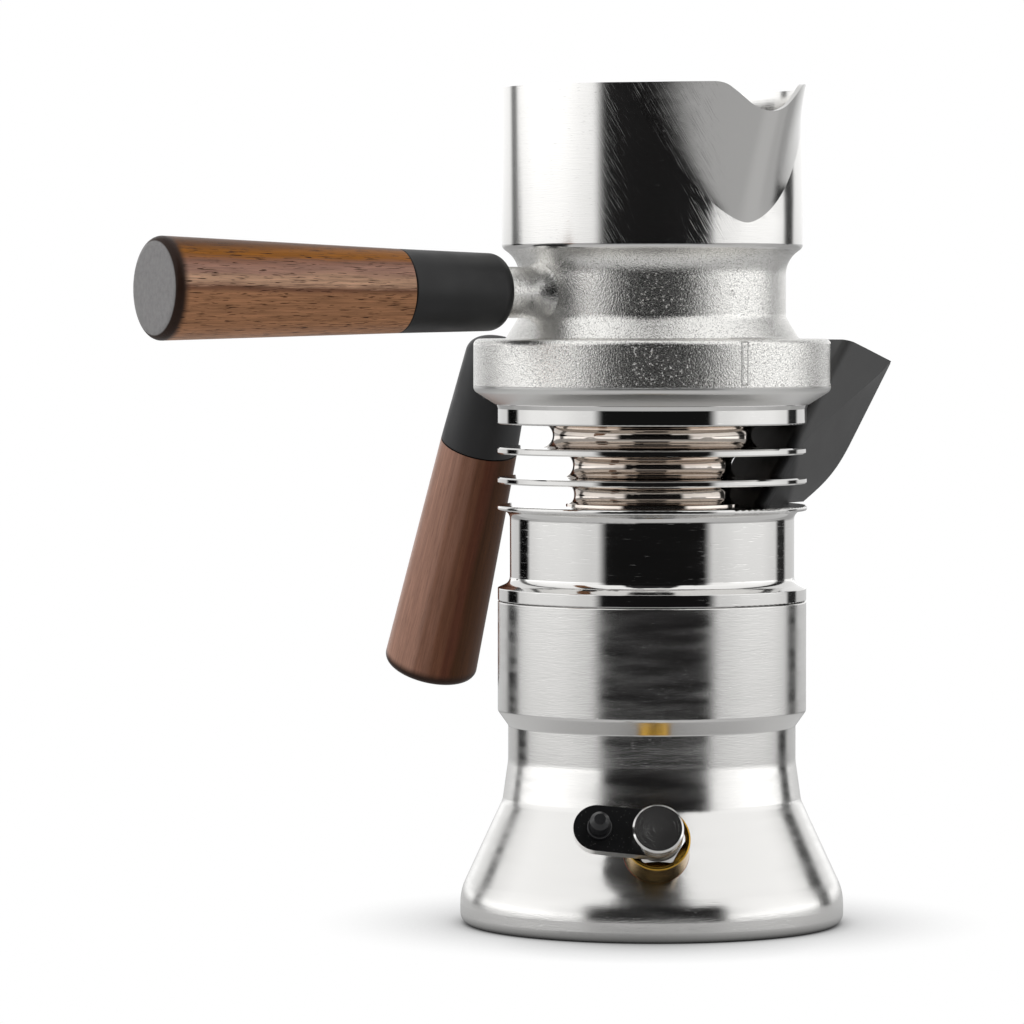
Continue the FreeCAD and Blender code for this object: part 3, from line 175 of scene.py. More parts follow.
@dataclass(frozen=True)
class Place:
    """Where a pattern is centred on a piece, and which way its long or turning axis points."""

    centre: tuple[float, float, float] = (0.0, 0.0, 0.0)
    axis: tuple[float, float, float] = UP

    def coordinates(self, tree: Tree) -> Socket:
        """Gives Object coordinates, moved to the centre and turned so that the axis is Z.

        Args:
            tree: the node tree to add to.

        Returns:
            The coordinates, in metres.
        """
        coords = add(tree, "ShaderNodeTexCoord", out="Object")
        turn = Vector(self.axis).rotation_difference(Vector(UP))
        shift = -(turn @ Vector(self.centre))
        return add(tree, "ShaderNodeMapping", {
            "Vector": coords, "Location": shift, "Rotation": turn.to_euler()})


POT = Place()


@dataclass(frozen=True)
class Finish(ABC):
    """A material: a real substance and how its surface was made."""

    name: str
    place: Place = POT

    def material(self) -> bpy.types.Material:
        """Builds the material.

        Returns:
            The new material.
        """
        made = bpy.data.materials.new(self.name)
        made.use_nodes = True
        tree = made.node_tree
        self.paint(tree, tree.nodes["Principled BSDF"])
        return made

    @abstractmethod
    def paint(self, tree: Tree, shader: bpy.types.Node) -> None:
        """Adds the finish's nodes and links them to the shader.

        Args:
            tree: the material's node tree.
            shader: the material's main shader.
        """


@dataclass(frozen=True)
class Thread:
    """A screw thread cut round a piece's axis, between two heights."""

    low: float
    high: float
    pitch: float = 3.0 * MM
    depth: float = 1.1 * MM
    runout: float = 0.2 * MM

    def height(self, tree: Tree, coords: Socket) -> Socket:
        """Makes the thread's ridges, which climb one pitch in a turn.

        Args:
            tree: the node tree to add to.
            coords: coordinates with the thread's axis as Z.

        Returns:
            The ridges' height, in metres.
        """
        split = add(tree, "ShaderNodeSeparateXYZ", {0: coords}).node
        around = add(tree, "ShaderNodeMath", {0: split.outputs["Y"], 1: split.outputs["X"]},
                     operation="ARCTAN2")
        rise = split.outputs["Z"]
        turns = add(tree, "ShaderNodeMath", {0: rise, 1: 1 / self.pitch}, operation="MULTIPLY")
        turns = add(tree, "ShaderNodeMath", {0: around, 1: -1 / math.tau, 2: turns}, operation="MULTIPLY_ADD")
        ridge = add(tree, "ShaderNodeMath", {0: turns, 1: 0.5}, operation="PINGPONG")
        cut = between(tree, rise, self.low, self.high, self.runout)
        ridge = add(tree, "ShaderNodeMath", {0: ridge, 1: 2 * self.depth}, operation="MULTIPLY")
        return add(tree, "ShaderNodeMath", {0: ridge, 1: cut}, operation="MULTIPLY")


@dataclass(frozen=True)
class TurnedMetal(Finish):
    """Metal turned on a lathe, then brushed or polished round its axis.

    Fine rings run round the piece. They spread a highlight along the axis, so dark and light
    bands stay straight up and down, and light streaks cross the dark ones.
    """

    shade: Shade = Shade.STAINLESS
    roughness: float = 0.12
    # Real brushing is finer than 0.1 mm. It is drawn as coarse as it needs to show.
    line_mm: float = 0.35
    run_mm: float = 9.0
    depth_mm: float = 0.006
    scratch_mm: float = 0.02
    scratch_share: float = 0.1
    scratch_run: float = 0.4
    scratch_from: float = 0.74
    scratch_full: float = 0.8
    cloud_mm: tuple[float, float] = (20.0, 3.0)
    cloud_share: float = 0.25
    core_radius: float = 0.0
    core_edge: float = 1.0 * MM
    core_shade: Shade = Shade.STAINLESS
    threads: tuple[Thread, ...] = ()

    def height(self, tree: Tree, coords: Socket) -> Socket:
        """Makes the rings, scratches and threads as a height.

        Args:
            tree: the node tree to add to.
            coords: coordinates with the turning axis as Z.

        Returns:
            The height, in metres.
        """
        radius = from_axis(tree, coords)
        level = add(tree, "ShaderNodeMath", {0: radius, 1: 1 / (self.line_mm * MM)}, operation="MULTIPLY")
        lines = add(tree, "ShaderNodeTexNoise", {
            "Vector": stretched(tree, coords, self.run_mm, self.line_mm), "W": level,
            "Scale": 1.0, "Detail": 2.0, "Roughness": 0.7}, noise_dimensions="4D")
        lines = add(tree, "ShaderNodeMath", {0: lines, 1: self.depth_mm * MM}, operation="MULTIPLY")
        marks = add(tree, "ShaderNodeTexNoise", {
            "Vector": stretched(tree, coords, self.run_mm * self.scratch_run, self.line_mm), "W": level,
            "Scale": 1.0, "Detail": 1.0}, noise_dimensions="4D")
        marks = add(tree, "ShaderNodeMapRange", {
            "Value": marks, "From Min": self.scratch_from - 0.5 * self.scratch_share,
            "From Max": self.scratch_full, "To Min": 0.0, "To Max": -self.scratch_mm * MM})
        height = add(tree, "ShaderNodeMath", {0: lines, 1: marks})
        for thread in self.threads:
            height = add(tree, "ShaderNodeMath", {0: height, 1: thread.height(tree, coords)})
        return height

    def paint(self, tree: Tree, shader: bpy.types.Node) -> None:
        """Adds the metal's colour, its uneven gloss and its rings.

        Args:
            tree: the material's node tree.
            shader: the material's main shader.
        """
        coords = self.place.coordinates(tree)
        shader.inputs["Metallic"].default_value = 1.0
        shader.inputs["Base Color"].default_value = linear(self.shade)
        if self.core_radius:
            core = between(tree, from_axis(tree, coords), -math.inf, self.core_radius, self.core_edge)
            colour = add(tree, "ShaderNodeMix", {
                MIX_FACTOR: core, COLOUR_A: linear(self.shade), COLOUR_B: linear(self.core_shade)},
                **COLOUR_MIX)
            tree.links.new(colour, shader.inputs["Base Color"])
        cloud = add(tree, "ShaderNodeTexNoise", {
            "Vector": stretched(tree, coords, *self.cloud_mm), "Scale": 1.0})
        gloss = add(tree, "ShaderNodeMapRange", {
            "Value": cloud, "From Min": NOISE_LOW, "From Max": NOISE_HIGH,
            "To Min": (1 - self.cloud_share) * self.roughness,
            "To Max": (1 + self.cloud_share) * self.roughness})
        tree.links.new(gloss, shader.inputs["Roughness"])
        bump = add(tree, "ShaderNodeBump", {"Height": self.height(tree, coords), "Distance": 1.0},
                   out="Normal")
        tree.links.new(bump, shader.inputs["Normal"])


@dataclass(frozen=True)
class JugSteel(TurnedMetal):
    """Investment-cast jug: its ring, neck and stub keep the blasted skin of the casting.

    The cup is brushed round its axis, with slanting marks where a hand rubbed it beside the
    spout, and the ring's bevel is turned to a satin. The cast skin has a pebbled grain of about
    half a millimetre, which breaks reflections into light and dark specks, and a few pits. A
    parting line of the mould runs up the ring's side.
    """

    grain_mm: float = 0.5
    grain_depth_mm: float = 0.12
    pit_mm: float = 0.9
    pit_from: float = 0.69
    pit_edge: float = 0.03
    pit_depth_mm: float = 0.12
    speck_mm: float = 0.3
    speck_from: float = 0.56
    speck_full: float = 0.78
    cast_low: float = 0.0
    cast_high: float = 0.0
    cast_radius: float = 0.0
    cast_edge: float = 0.25 * MM
    cast_gloss: float = 0.27
    seam_deg: float = -91.6
    seam_low: float = 0.0
    seam_high: float = 0.0
    seam_radius: float = 49.0 * MM
    seam_half_width: float = 1.0 * MM
    seam_edge: float = 0.35 * MM
    seam_end: float = 0.2 * MM
    seam_depth: float = 0.9 * MM
    satin: float = 0.3
    # Hand-rubbed marks are some hundredths of a millimetre wide. They are drawn as coarse as they
    # need to show: each row gives one axis of their slanting pattern, in cells to a metre of X, Y, Z.
    rub_cells: tuple[tuple[float, float, float], ...] = ((3350.0, -2100.0, 2230.0), (46.0, -29.0, -97.0))
    rub_from: float = 0.6
    rub_full: float = 0.8
    rub_mm: float = 0.012
    rub_side: tuple[float, float, float] = (0.848, -0.53, 0.0)
    rub_side_limits: tuple[float, float] = (-13 * MM, 22 * MM)
    rub_front: tuple[float, float, float] = (-0.53, -0.848, 0.0)
    rub_front_limits: tuple[float, float] = (10 * MM, math.inf)
    rub_edge: float = 5 * MM

    def skin(self, tree: Tree, coords: Socket, radius: Socket, rise: Socket) -> Socket:
        """Makes the cast grain, its pits and the parting line as a height.

        Args:
            tree: the node tree to add to.
            coords: coordinates with the jug's axis as Z.
            radius: the distance from the axis.
            rise: the height of the point.

        Returns:
            The height, in metres.
        """
        grain = add(tree, "ShaderNodeTexNoise", {
            "Vector": stretched(tree, coords, self.grain_mm, self.grain_mm), "Scale": 1.0,
            "Detail": 2.0, "Roughness": 0.6, "Distortion": 0.3})
        grain = add(tree, "ShaderNodeMath", {0: grain, 1: self.grain_depth_mm * MM}, operation="MULTIPLY")
        pits = add(tree, "ShaderNodeTexNoise", {
            "Vector": stretched(tree, coords, self.pit_mm, self.pit_mm), "Scale": 1.0, "Detail": 1.0})
        pits = between(tree, pits, self.pit_from, math.inf, self.pit_edge)
        height = add(tree, "ShaderNodeMath", {0: pits, 1: -self.pit_depth_mm * MM, 2: grain},
                     operation="MULTIPLY_ADD")
        turn = math.radians(self.seam_deg)
        side = add(tree, "ShaderNodeVectorMath", {0: coords, 1: (-math.sin(turn), math.cos(turn), 0.0)},
                   out="Value", operation="DOT_PRODUCT")
        front = add(tree, "ShaderNodeVectorMath", {0: coords, 1: (math.cos(turn), math.sin(turn), 0.0)},
                    out="Value", operation="DOT_PRODUCT")
        line = between(tree, side, -self.seam_half_width, self.seam_half_width, self.seam_edge)
        for value, low, high in ((rise, self.seam_low, self.seam_high), (front, 0.0, math.inf),
                                 (radius, self.seam_radius, math.inf)):
            line = add(tree, "ShaderNodeMath", {0: line, 1: between(tree, value, low, high, self.seam_end)},
                       operation="MULTIPLY")
        return add(tree, "ShaderNodeMath", {0: line, 1: self.seam_depth, 2: height}, operation="MULTIPLY_ADD")

    def rubbed(self, tree: Tree, coords: Socket) -> Socket:
        """Makes the slanting marks that hand polishing left beside the spout, as a height.

        Args:
            tree: the node tree to add to.
            coords: coordinates with the jug's axis as Z.

        Returns:
            The height, in metres.
        """
        across, along = (add(tree, "ShaderNodeVectorMath", {0: coords, 1: cells}, out="Value",
                             operation="DOT_PRODUCT") for cells in self.rub_cells)
        flat = add(tree, "ShaderNodeCombineXYZ", {"X": across, "Y": along})
        marks = add(tree, "ShaderNodeTexNoise", {"Vector": flat, "Scale": 1.0, "Detail": 1.0},
                    noise_dimensions="2D")
        marks = add(tree, "ShaderNodeMapRange", {
            "Value": marks, "From Min": self.rub_from, "From Max": self.rub_full,
            "To Min": 0.0, "To Max": -self.rub_mm * MM})
        for way, limits in ((self.rub_side, self.rub_side_limits), (self.rub_front, self.rub_front_limits)):
            place = add(tree, "ShaderNodeVectorMath", {0: coords, 1: way}, out="Value",
                        operation="DOT_PRODUCT")
            marks = add(tree, "ShaderNodeMath", {0: marks, 1: between(tree, place, *limits, self.rub_edge)},
                        operation="MULTIPLY")
        return marks

    def paint(self, tree: Tree, shader: bpy.types.Node) -> None:
        """Adds the brushed cup, the satin bevel, and the cast skin between them.

        Args:
            tree: the material's node tree.
            shader: the material's main shader.
        """
        coords = self.place.coordinates(tree)
        radius = from_axis(tree, coords)
        rise = add(tree, "ShaderNodeSeparateXYZ", {0: coords}, out="Z")
        level = between(tree, rise, self.cast_low, self.cast_high, self.cast_edge)
        outer = between(tree, radius, self.cast_radius, math.inf, self.cast_edge)
        cast = add(tree, "ShaderNodeMath", {0: level, 1: outer}, operation="MULTIPLY")
        brushed = add(tree, "ShaderNodeMath", {0: self.height(tree, coords), 1: self.rubbed(tree, coords)})
        height = add(tree, "ShaderNodeMix", {
            MIX_FACTOR: cast, NUMBER_A: brushed, NUMBER_B: self.skin(tree, coords, radius, rise)},
            data_type="FLOAT")
        bump = add(tree, "ShaderNodeBump", {"Height": height, "Distance": 1.0}, out="Normal")
        speck = add(tree, "ShaderNodeTexNoise", {
            "Vector": stretched(tree, coords, self.speck_mm, self.speck_mm), "Scale": 1.0, "Detail": 1.0})
        speck = add(tree, "ShaderNodeMapRange", {
            "Value": speck, "From Min": self.speck_from, "From Max": self.speck_full})
        skin = add(tree, "ShaderNodeMix", {
            MIX_FACTOR: speck, COLOUR_A: linear(Shade.CAST_STEEL), COLOUR_B: linear(Shade.CAST_PIT)},
            **COLOUR_MIX)
        bevel = between(tree, rise, -math.inf, self.cast_low, self.cast_edge)
        gloss = add(tree, "ShaderNodeMix", {
            MIX_FACTOR: bevel, NUMBER_A: self.roughness, NUMBER_B: self.satin}, data_type="FLOAT")
        gloss = add(tree, "ShaderNodeMix", {MIX_FACTOR: cast, NUMBER_A: gloss, NUMBER_B: self.cast_gloss},
                    data_type="FLOAT")
        colour = add(tree, "ShaderNodeMix", {MIX_FACTOR: cast, COLOUR_A: linear(self.shade), COLOUR_B: skin},
                     **COLOUR_MIX)
        shader.inputs["Metallic"].default_value = 1.0
        tree.links.new(colour, shader.inputs["Base Color"])
        tree.links.new(gloss, shader.inputs["Roughness"])
        tree.links.new(bump, shader.inputs["Normal"])


@dataclass(frozen=True)
class SatinBlack(Finish):
    """Glass-filled nylon moulded in a spark-eroded tool, or blackened steel: a satin black.

    The sheen is a little cloudy, over a very fine grain. Deep between the fins, where hardly any
    light gets in, the black is painted darker as painted shade.
    """

    shade: Shade = Shade.BLACK_COAT
    roughness: float = 0.46
    # The tool's grain is about 0.1 mm. It is drawn as coarse as it needs to show.
    grain_mm: float = 0.45
    depth_mm: float = 0.012
    cloud_mm: float = 9.0
    cloud_gloss: tuple[float, float] = (-0.05, 0.06)
    painted_shade_radius: float = 0.0
    painted_shade_edge: float = 1.5 * MM
    painted_shade_black: Shade = Shade.BLACK_COAT

    def paint(self, tree: Tree, shader: bpy.types.Node) -> None:
        """Adds the black, its cloudy sheen and the fine grain.

        Args:
            tree: the material's node tree.
            shader: the material's main shader.
        """
        coords = self.place.coordinates(tree)
        shader.inputs["Base Color"].default_value = linear(self.shade)
        # Painted shade: near the axis, between the fins, the black is painted darker.
        if self.painted_shade_radius:
            painted_shade_mask = between(tree, from_axis(tree, coords), -math.inf, self.painted_shade_radius, self.painted_shade_edge)
            black = add(tree, "ShaderNodeMix", {
                MIX_FACTOR: painted_shade_mask, COLOUR_A: linear(self.shade), COLOUR_B: linear(self.painted_shade_black)},
                **COLOUR_MIX)
            tree.links.new(black, shader.inputs["Base Color"])
        cloud = add(tree, "ShaderNodeTexNoise", {
            "Vector": stretched(tree, coords, self.cloud_mm, self.cloud_mm), "Scale": 1.0, "Detail": 3.0})
        gloss = add(tree, "ShaderNodeMapRange", {
            "Value": cloud, "From Min": NOISE_LOW, "From Max": NOISE_HIGH,
            "To Min": self.roughness + self.cloud_gloss[0], "To Max": self.roughness + self.cloud_gloss[1]})
        grain = add(tree, "ShaderNodeTexNoise", {
            "Vector": stretched(tree, coords, self.grain_mm, self.grain_mm), "Scale": 1.0, "Detail": 2.0})
        height = add(tree, "ShaderNodeMath", {0: grain, 1: self.depth_mm * MM}, operation="MULTIPLY")
        bump = add(tree, "ShaderNodeBump", {"Height": height, "Distance": 1.0}, out="Normal")
        tree.links.new(gloss, shader.inputs["Roughness"])
        tree.links.new(bump, shader.inputs["Normal"])


@dataclass(frozen=True)
class CoatedPlate(Finish):
    """Laser-cut steel plate, coated black on its faces, with bare bright edges and specks of dust."""

    roughness: float = 0.28
    face_from: float = 0.8
    face_edge: float = 0.05
    dust_mm: float = 0.9
    dust_size: float = 0.09
    dust_edge: float = 0.03

    def paint(self, tree: Tree, shader: bpy.types.Node) -> None:
        """Adds the black faces, the bare edges and the specks.

        Args:
            tree: the material's node tree.
            shader: the material's main shader.
        """
        coords = self.place.coordinates(tree)
        normal = add(tree, "ShaderNodeTexCoord", out="Normal")
        facing = add(tree, "ShaderNodeVectorMath", {0: normal, 1: self.place.axis}, out="Value",
                     operation="DOT_PRODUCT")
        facing = add(tree, "ShaderNodeMath", {0: facing}, operation="ABSOLUTE")
        face = between(tree, facing, self.face_from, math.inf, self.face_edge)
        dust = add(tree, "ShaderNodeTexVoronoi", {"Vector": coords, "Scale": 1 / (self.dust_mm * MM)},
                   out="Distance")
        speck = between(tree, dust, -math.inf, self.dust_size, self.dust_edge)
        black = add(tree, "ShaderNodeMix", {
            MIX_FACTOR: speck, COLOUR_A: linear(Shade.BLACK_STEEL), COLOUR_B: linear(Shade.DUST)},
            **COLOUR_MIX)
        colour = add(tree, "ShaderNodeMix", {
            MIX_FACTOR: face, COLOUR_A: linear(Shade.STAINLESS), COLOUR_B: black}, **COLOUR_MIX)
        bare = add(tree, "ShaderNodeMath", {0: 1.0, 1: face}, operation="SUBTRACT")
        tree.links.new(colour, shader.inputs["Base Color"])
        tree.links.new(bare, shader.inputs["Metallic"])
        shader.inputs["Roughness"].default_value = self.roughness


@dataclass(frozen=True)
class Walnut(Finish):
    """Black walnut, turned, sanded and oiled: bands of grain and painted light, with fine dark pores.

    Each band starts at its own distance across the grip, in millimetres from the axis, and runs
    up to the next one. Some bands are also painted light: a painted sheen on the jug's grip, and a
    painted lit side and shaded side on the boiler's grip, whose bands run across the view. Drift
    and fibres move its edges, so that they waver as grain does. The grip's far end is darker over
    its last few millimetres, and its end face is painted grey, a painted reflection of the white
    panels.
    """

    bands: tuple[tuple[float, Shade], ...] = ()
    turn_deg: float = 0.0
    start: float = 0.0
    end: float = 0.0
    pores: float = 1.0
    fibres: float = 0.34
    drift_mm: tuple[float, float] = (5.0, 45.0)
    drift_swing_mm: float = 4.0
    fibre_mm: tuple[float, float] = (0.55, 26.0)
    fibre_swing_mm: float = 3.0
    band_edge_mm: float = 1.1
    # Walnut's pores are about 0.15 mm wide. They are drawn as coarse as they need to show.
    pore_mm: tuple[float, float] = (0.26, 5.0)
    pore_from: float = 0.65
    pore_edge: float = 0.04
    pore_depth_mm: float = 0.015
    mottle_mm: tuple[float, float] = (1.6, 50.0)
    mottle: tuple[float, float] = (0.86, 1.1)
    joint: float = 0.3 * MM
    joint_edge: float = 0.12 * MM
    rim: float = 3.2 * MM
    rim_edge: float = 1.3 * MM
    # Depth of the end face's painted grey, a painted reflection.
    end_sheen_depth: float = 0.25 * MM
    roughness: float = 0.32
    sheen_level: float = 0.1

    def paint(self, tree: Tree, shader: bpy.types.Node) -> None:
        """Adds the bands, fibres and pores along the grip, and the end grain on its end face.

        Args:
            tree: the material's node tree.
            shader: the material's main shader.
        """
        coords = self.place.coordinates(tree)
        turn = math.radians(self.turn_deg)
        across = add(tree, "ShaderNodeVectorMath", {
            0: coords, 1: (math.cos(turn) / MM, math.sin(turn) / MM, 0.0)}, out="Value",
            operation="DOT_PRODUCT")
        drift = add(tree, "ShaderNodeTexNoise", {
            "Vector": stretched(tree, coords, *self.drift_mm), "Scale": 1.0, "Detail": 3.0})
        across = add(tree, "ShaderNodeMath", {0: drift, 1: self.drift_swing_mm, 2: across},
                     operation="MULTIPLY_ADD")
        fibre = add(tree, "ShaderNodeTexNoise", {
            "Vector": stretched(tree, coords, *self.fibre_mm), "Scale": 1.0,
            "Detail": 4.0, "Roughness": 0.7})
        across = add(tree, "ShaderNodeMath", {0: fibre, 1: self.fibre_swing_mm, 2: across},
                     operation="MULTIPLY_ADD")
        middle = 0.5 * (self.drift_swing_mm + self.fibre_swing_mm)
        # The bands are grain and also painted light: a painted sheen, and painted lit and shaded sides.
        body = linear(self.bands[0][1])
        for low, shade in self.bands[1:]:
            inside = between(tree, across, low + middle, math.inf, self.band_edge_mm)
            body = add(tree, "ShaderNodeMix", {MIX_FACTOR: inside, COLOUR_A: body, COLOUR_B: linear(shade)},
                       **COLOUR_MIX)
        fibre = add(tree, "ShaderNodeMapRange", {
            "Value": fibre, "From Min": NOISE_LOW, "From Max": NOISE_HIGH,
            "To Min": 1 - self.fibres, "To Max": 1 + self.fibres})
        body = add(tree, "ShaderNodeVectorMath", {0: body, "Scale": fibre}, operation="SCALE")
        pore = add(tree, "ShaderNodeTexNoise", {
            "Vector": stretched(tree, coords, *self.pore_mm), "Scale": 1.0, "Detail": 1.0})
        pore = between(tree, pore, self.pore_from, math.inf, self.pore_edge)
        pore = add(tree, "ShaderNodeMath", {0: pore, 1: self.pores}, operation="MULTIPLY")
        body = add(tree, "ShaderNodeMix", {
            MIX_FACTOR: pore, COLOUR_A: body, COLOUR_B: linear(Shade.WALNUT_PORE)}, **COLOUR_MIX)
        along = add(tree, "ShaderNodeSeparateXYZ", {0: coords}, out="Z")
        # A dark joint at the ferrule, a darker far end, and the end face painted grey as a painted
        # reflection.
        for low, high, soft, shade in (
                (-math.inf, self.start + self.joint, self.joint_edge, Shade.BLACK),
                (self.end - self.rim, math.inf, self.rim_edge, Shade.WALNUT_RIM),
                (self.end - self.end_sheen_depth, math.inf, self.joint_edge, Shade.WALNUT_END)):
            ring = between(tree, along, low, high, soft)
            body = add(tree, "ShaderNodeMix", {MIX_FACTOR: ring, COLOUR_A: body, COLOUR_B: linear(shade)},
                       **COLOUR_MIX)
        mottle = add(tree, "ShaderNodeTexNoise", {
            "Vector": stretched(tree, coords, *self.mottle_mm), "Scale": 1.0,
            "Detail": 4.0, "Roughness": 0.7})
        mottle = add(tree, "ShaderNodeMapRange", {
            "Value": mottle, "From Min": NOISE_LOW, "From Max": NOISE_HIGH,
            "To Min": self.mottle[0], "To Max": self.mottle[1]})
        body = add(tree, "ShaderNodeVectorMath", {0: body, "Scale": mottle}, operation="SCALE")
        height = add(tree, "ShaderNodeMath", {0: pore, 1: -self.pore_depth_mm * MM}, operation="MULTIPLY")
        bump = add(tree, "ShaderNodeBump", {"Height": height, "Distance": 1.0}, out="Normal")
        tree.links.new(body, shader.inputs["Base Color"])
        tree.links.new(bump, shader.inputs["Normal"])
        shader.inputs["Roughness"].default_value = self.roughness
        shader.inputs["Specular IOR Level"].default_value = self.sheen_level


@dataclass(frozen=True)
class Rubber(Finish):
    """Moulded silicone rubber: a soft matt red, slightly cloudy."""

    cloud_mm: float = 4.0
    roughness: tuple[float, float] = (0.45, 0.65)

    def paint(self, tree: Tree, shader: bpy.types.Node) -> None:
        """Adds the red and its cloudy gloss.

        Args:
            tree: the material's node tree.
            shader: the material's main shader.
        """
        coords = stretched(tree, self.place.coordinates(tree), self.cloud_mm, self.cloud_mm)
        cloud = add(tree, "ShaderNodeTexNoise", {"Vector": coords, "Scale": 1.0})
        gloss = add(tree, "ShaderNodeMapRange", {
            "Value": cloud, "To Min": self.roughness[0], "To Max": self.roughness[1]})
        shader.inputs["Base Color"].default_value = linear(Shade.SILICONE)
        tree.links.new(gloss, shader.inputs["Roughness"])


def dress(finish: Finish, *nodes: str) -> None:
    """Gives CAD nodes a finish.

    Args:
        finish: the finish that they all take.
        nodes: the names of the nodes.
    """
    material = finish.material()
    for name in nodes:
        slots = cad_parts[name].data.materials
        slots.clear()
        slots.append(material)
        log.info("%s: %s", name, finish.name)


def shorten(spring: str) -> None:
    """Gives a spring its own copy of its mesh; the spring is not pressed together.

    Args:
        spring: the spring's node.
    """
    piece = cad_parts[spring]
    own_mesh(piece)


@dataclass
class Boiler:
    """The base that stands on the hob, and the gasket that seals it."""

    brush_mm: float = 0.34

    def dress(self) -> None:
        """Finishes the base and its gasket."""
        dress(TurnedMetal("base_satin_brushed_stainless", roughness=0.2, line_mm=self.brush_mm, run_mm=3.5,
                          depth_mm=0.017, scratch_mm=0.01, scratch_share=0.14), "boiler_base")
        dress(Rubber("boiler_gasket_silicone"), "boiler_gasket")


@dataclass
class ReliefValve:
    """The relief valve on the base's cone: brass body, steel hex and cap, black lever."""

    spot: tuple[float, float, float] = (-0.024231, -0.041301, 0.0251)
    axis: tuple[float, float, float] = (-0.459203, -0.782692, 0.42015)

    def dress(self) -> None:
        """Finishes the valve's pieces, each turned about the valve's own axis."""
        place = Place(self.spot, self.axis)
        dress(TurnedMetal("relief_turned_brass", place, Shade.BRASS, 0.14, depth_mm=0.005),
              "relief_valve_body")
        dress(TurnedMetal("relief_nut_brass", place, Shade.BRASS, 0.2), "relief_nut")
        dress(TurnedMetal("relief_turned_steel", place, roughness=0.16, line_mm=0.4, run_mm=6.0,
                          depth_mm=0.02), "relief_hex", "relief_poppet", "relief_spring")
        dress(TurnedMetal("relief_cap_turned_steel", place, roughness=0.17, line_mm=0.7, run_mm=14.0,
                          depth_mm=0.09), "relief_cap")
        dress(CoatedPlate("relief_lever_black_plate", place), "relief_lever")
        dress(SatinBlack("lever_pin_black_steel", place, roughness=0.35), "lever_pin")
        dress(Rubber("relief_washer_silicone"), "relief_washer")
        shorten("relief_spring")


@dataclass
class UpperBoiler:
    """The cold bath, the finned head, the coil between them and the filler chute."""

    core_radius: float = 34 * MM
    # Within this radius the chute's black is painted darker, as painted shade between the fins.
    painted_shade_radius: float = 43.6 * MM
    skirt_thread: Thread = Thread(72.5 * MM, 92.0 * MM)
    spigot_thread: Thread = Thread(150.2 * MM, 161.0 * MM)

    def dress(self) -> None:
        """Finishes the bath, the head, the coil, the fittings and the chute."""
        dress(TurnedMetal("bath_turned_stainless", roughness=0.08, line_mm=0.22, run_mm=12.0, depth_mm=0.002,
                          scratch_mm=0.01, scratch_share=0.2, threads=(self.skirt_thread,)), "bath_shell")
        dress(TurnedMetal("head_turned_stainless", roughness=0.06, line_mm=0.25, depth_mm=0.0012,
                          scratch_mm=0.004, core_radius=self.core_radius, core_shade=Shade.WARM_STEEL,
                          threads=(self.spigot_thread,)), "boiler_head")
        dress(TurnedMetal("bath_floor_pressed_stainless", roughness=0.18), "bath_floor")
        dress(TurnedMetal("coil_drawn_stainless", roughness=0.2), "cooling_coil", "riser_tube")
        dress(TurnedMetal("fittings_turned_stainless", roughness=0.18), "coil_banjo", "head_nut",
              "riser_union", "union_nut", "chute_screws", "bracket_screws", "boiler_rod")
        dress(SatinBlack("chute_moulded_black", shade=Shade.MOULDED_BLACK, roughness=0.5,
                         painted_shade_radius=self.painted_shade_radius), "filler_chute")
        dress(Rubber("head_o_ring_silicone"), "head_o_ring")


@dataclass
class BrewGroup:
    """The brew valve, the filter basket and the screen and gasket round them."""

    def dress(self) -> None:
        """Finishes the group's pieces."""
        dress(TurnedMetal("brew_valve_brass", shade=Shade.BRASS, roughness=0.2),
              "brew_valve_body", "brew_valve_cap")
        dress(TurnedMetal("brew_valve_steel", roughness=0.18), "brew_valve_poppet", "brew_valve_spring")
        dress(TurnedMetal("basket_pressed_stainless", roughness=0.12), "filter_basket", "basket_screen")
        dress(Rubber("group_gasket_silicone"), "group_gasket")
        shorten("brew_valve_spring")


@dataclass
class Jug:
    """The cast jug with its brushed cup, and the coffee column inside it."""

    ring_bevel_top: float = 5.2 * MM
    ring_height: float = 18.8 * MM
    cup_height: float = 46.2 * MM
    neck_inside: float = 37.0 * MM
    seam_inset: float = 0.8 * MM

    def dress(self) -> None:
        """Finishes the jug, its column and its screen."""
        low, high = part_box("jug")
        cast_low = low.z + self.ring_bevel_top
        dress(JugSteel("jug_cast_and_brushed_stainless", roughness=0.14, line_mm=0.25, run_mm=5.0,
                       depth_mm=0.005, scratch_mm=0.008, cast_low=cast_low,
                       cast_high=high.z - self.cup_height, cast_radius=self.neck_inside,
                       seam_low=cast_low + self.seam_inset,
                       seam_high=low.z + self.ring_height - self.seam_inset), "jug")
        dress(TurnedMetal("column_turned_stainless", roughness=0.14),
              "coffee_column", "column_cap", "jug_rod")
        dress(TurnedMetal("upper_screen_pressed_stainless", roughness=0.16), "upper_screen")


@dataclass
class Handle:
    """A black ferrule and a turned walnut grip on one axis."""

    grip: str
    holder: str
    start: tuple[float, float, float]
    axis: tuple[float, float, float]
    bands: tuple[tuple[float, Shade], ...]
    turn_deg: float = 0.0
    pores: float = 1.0
    fibres: float = 0.34
    black: Shade = Shade.BLACK_COAT
    ferrule_length: float = 33.4 * MM
    length: float = 109.4 * MM

    def dress(self) -> None:
        """Finishes the grip along its own axis, and its ferrule."""
        place = Place(self.start, self.axis)
        dress(Walnut(f"{self.grip}_oiled_walnut", place, bands=self.bands, turn_deg=self.turn_deg,
                     start=self.ferrule_length, end=self.length, pores=self.pores, fibres=self.fibres),
              self.grip)
        dress(SatinBlack(f"{self.holder}_black_nylon", place, self.black), self.holder)


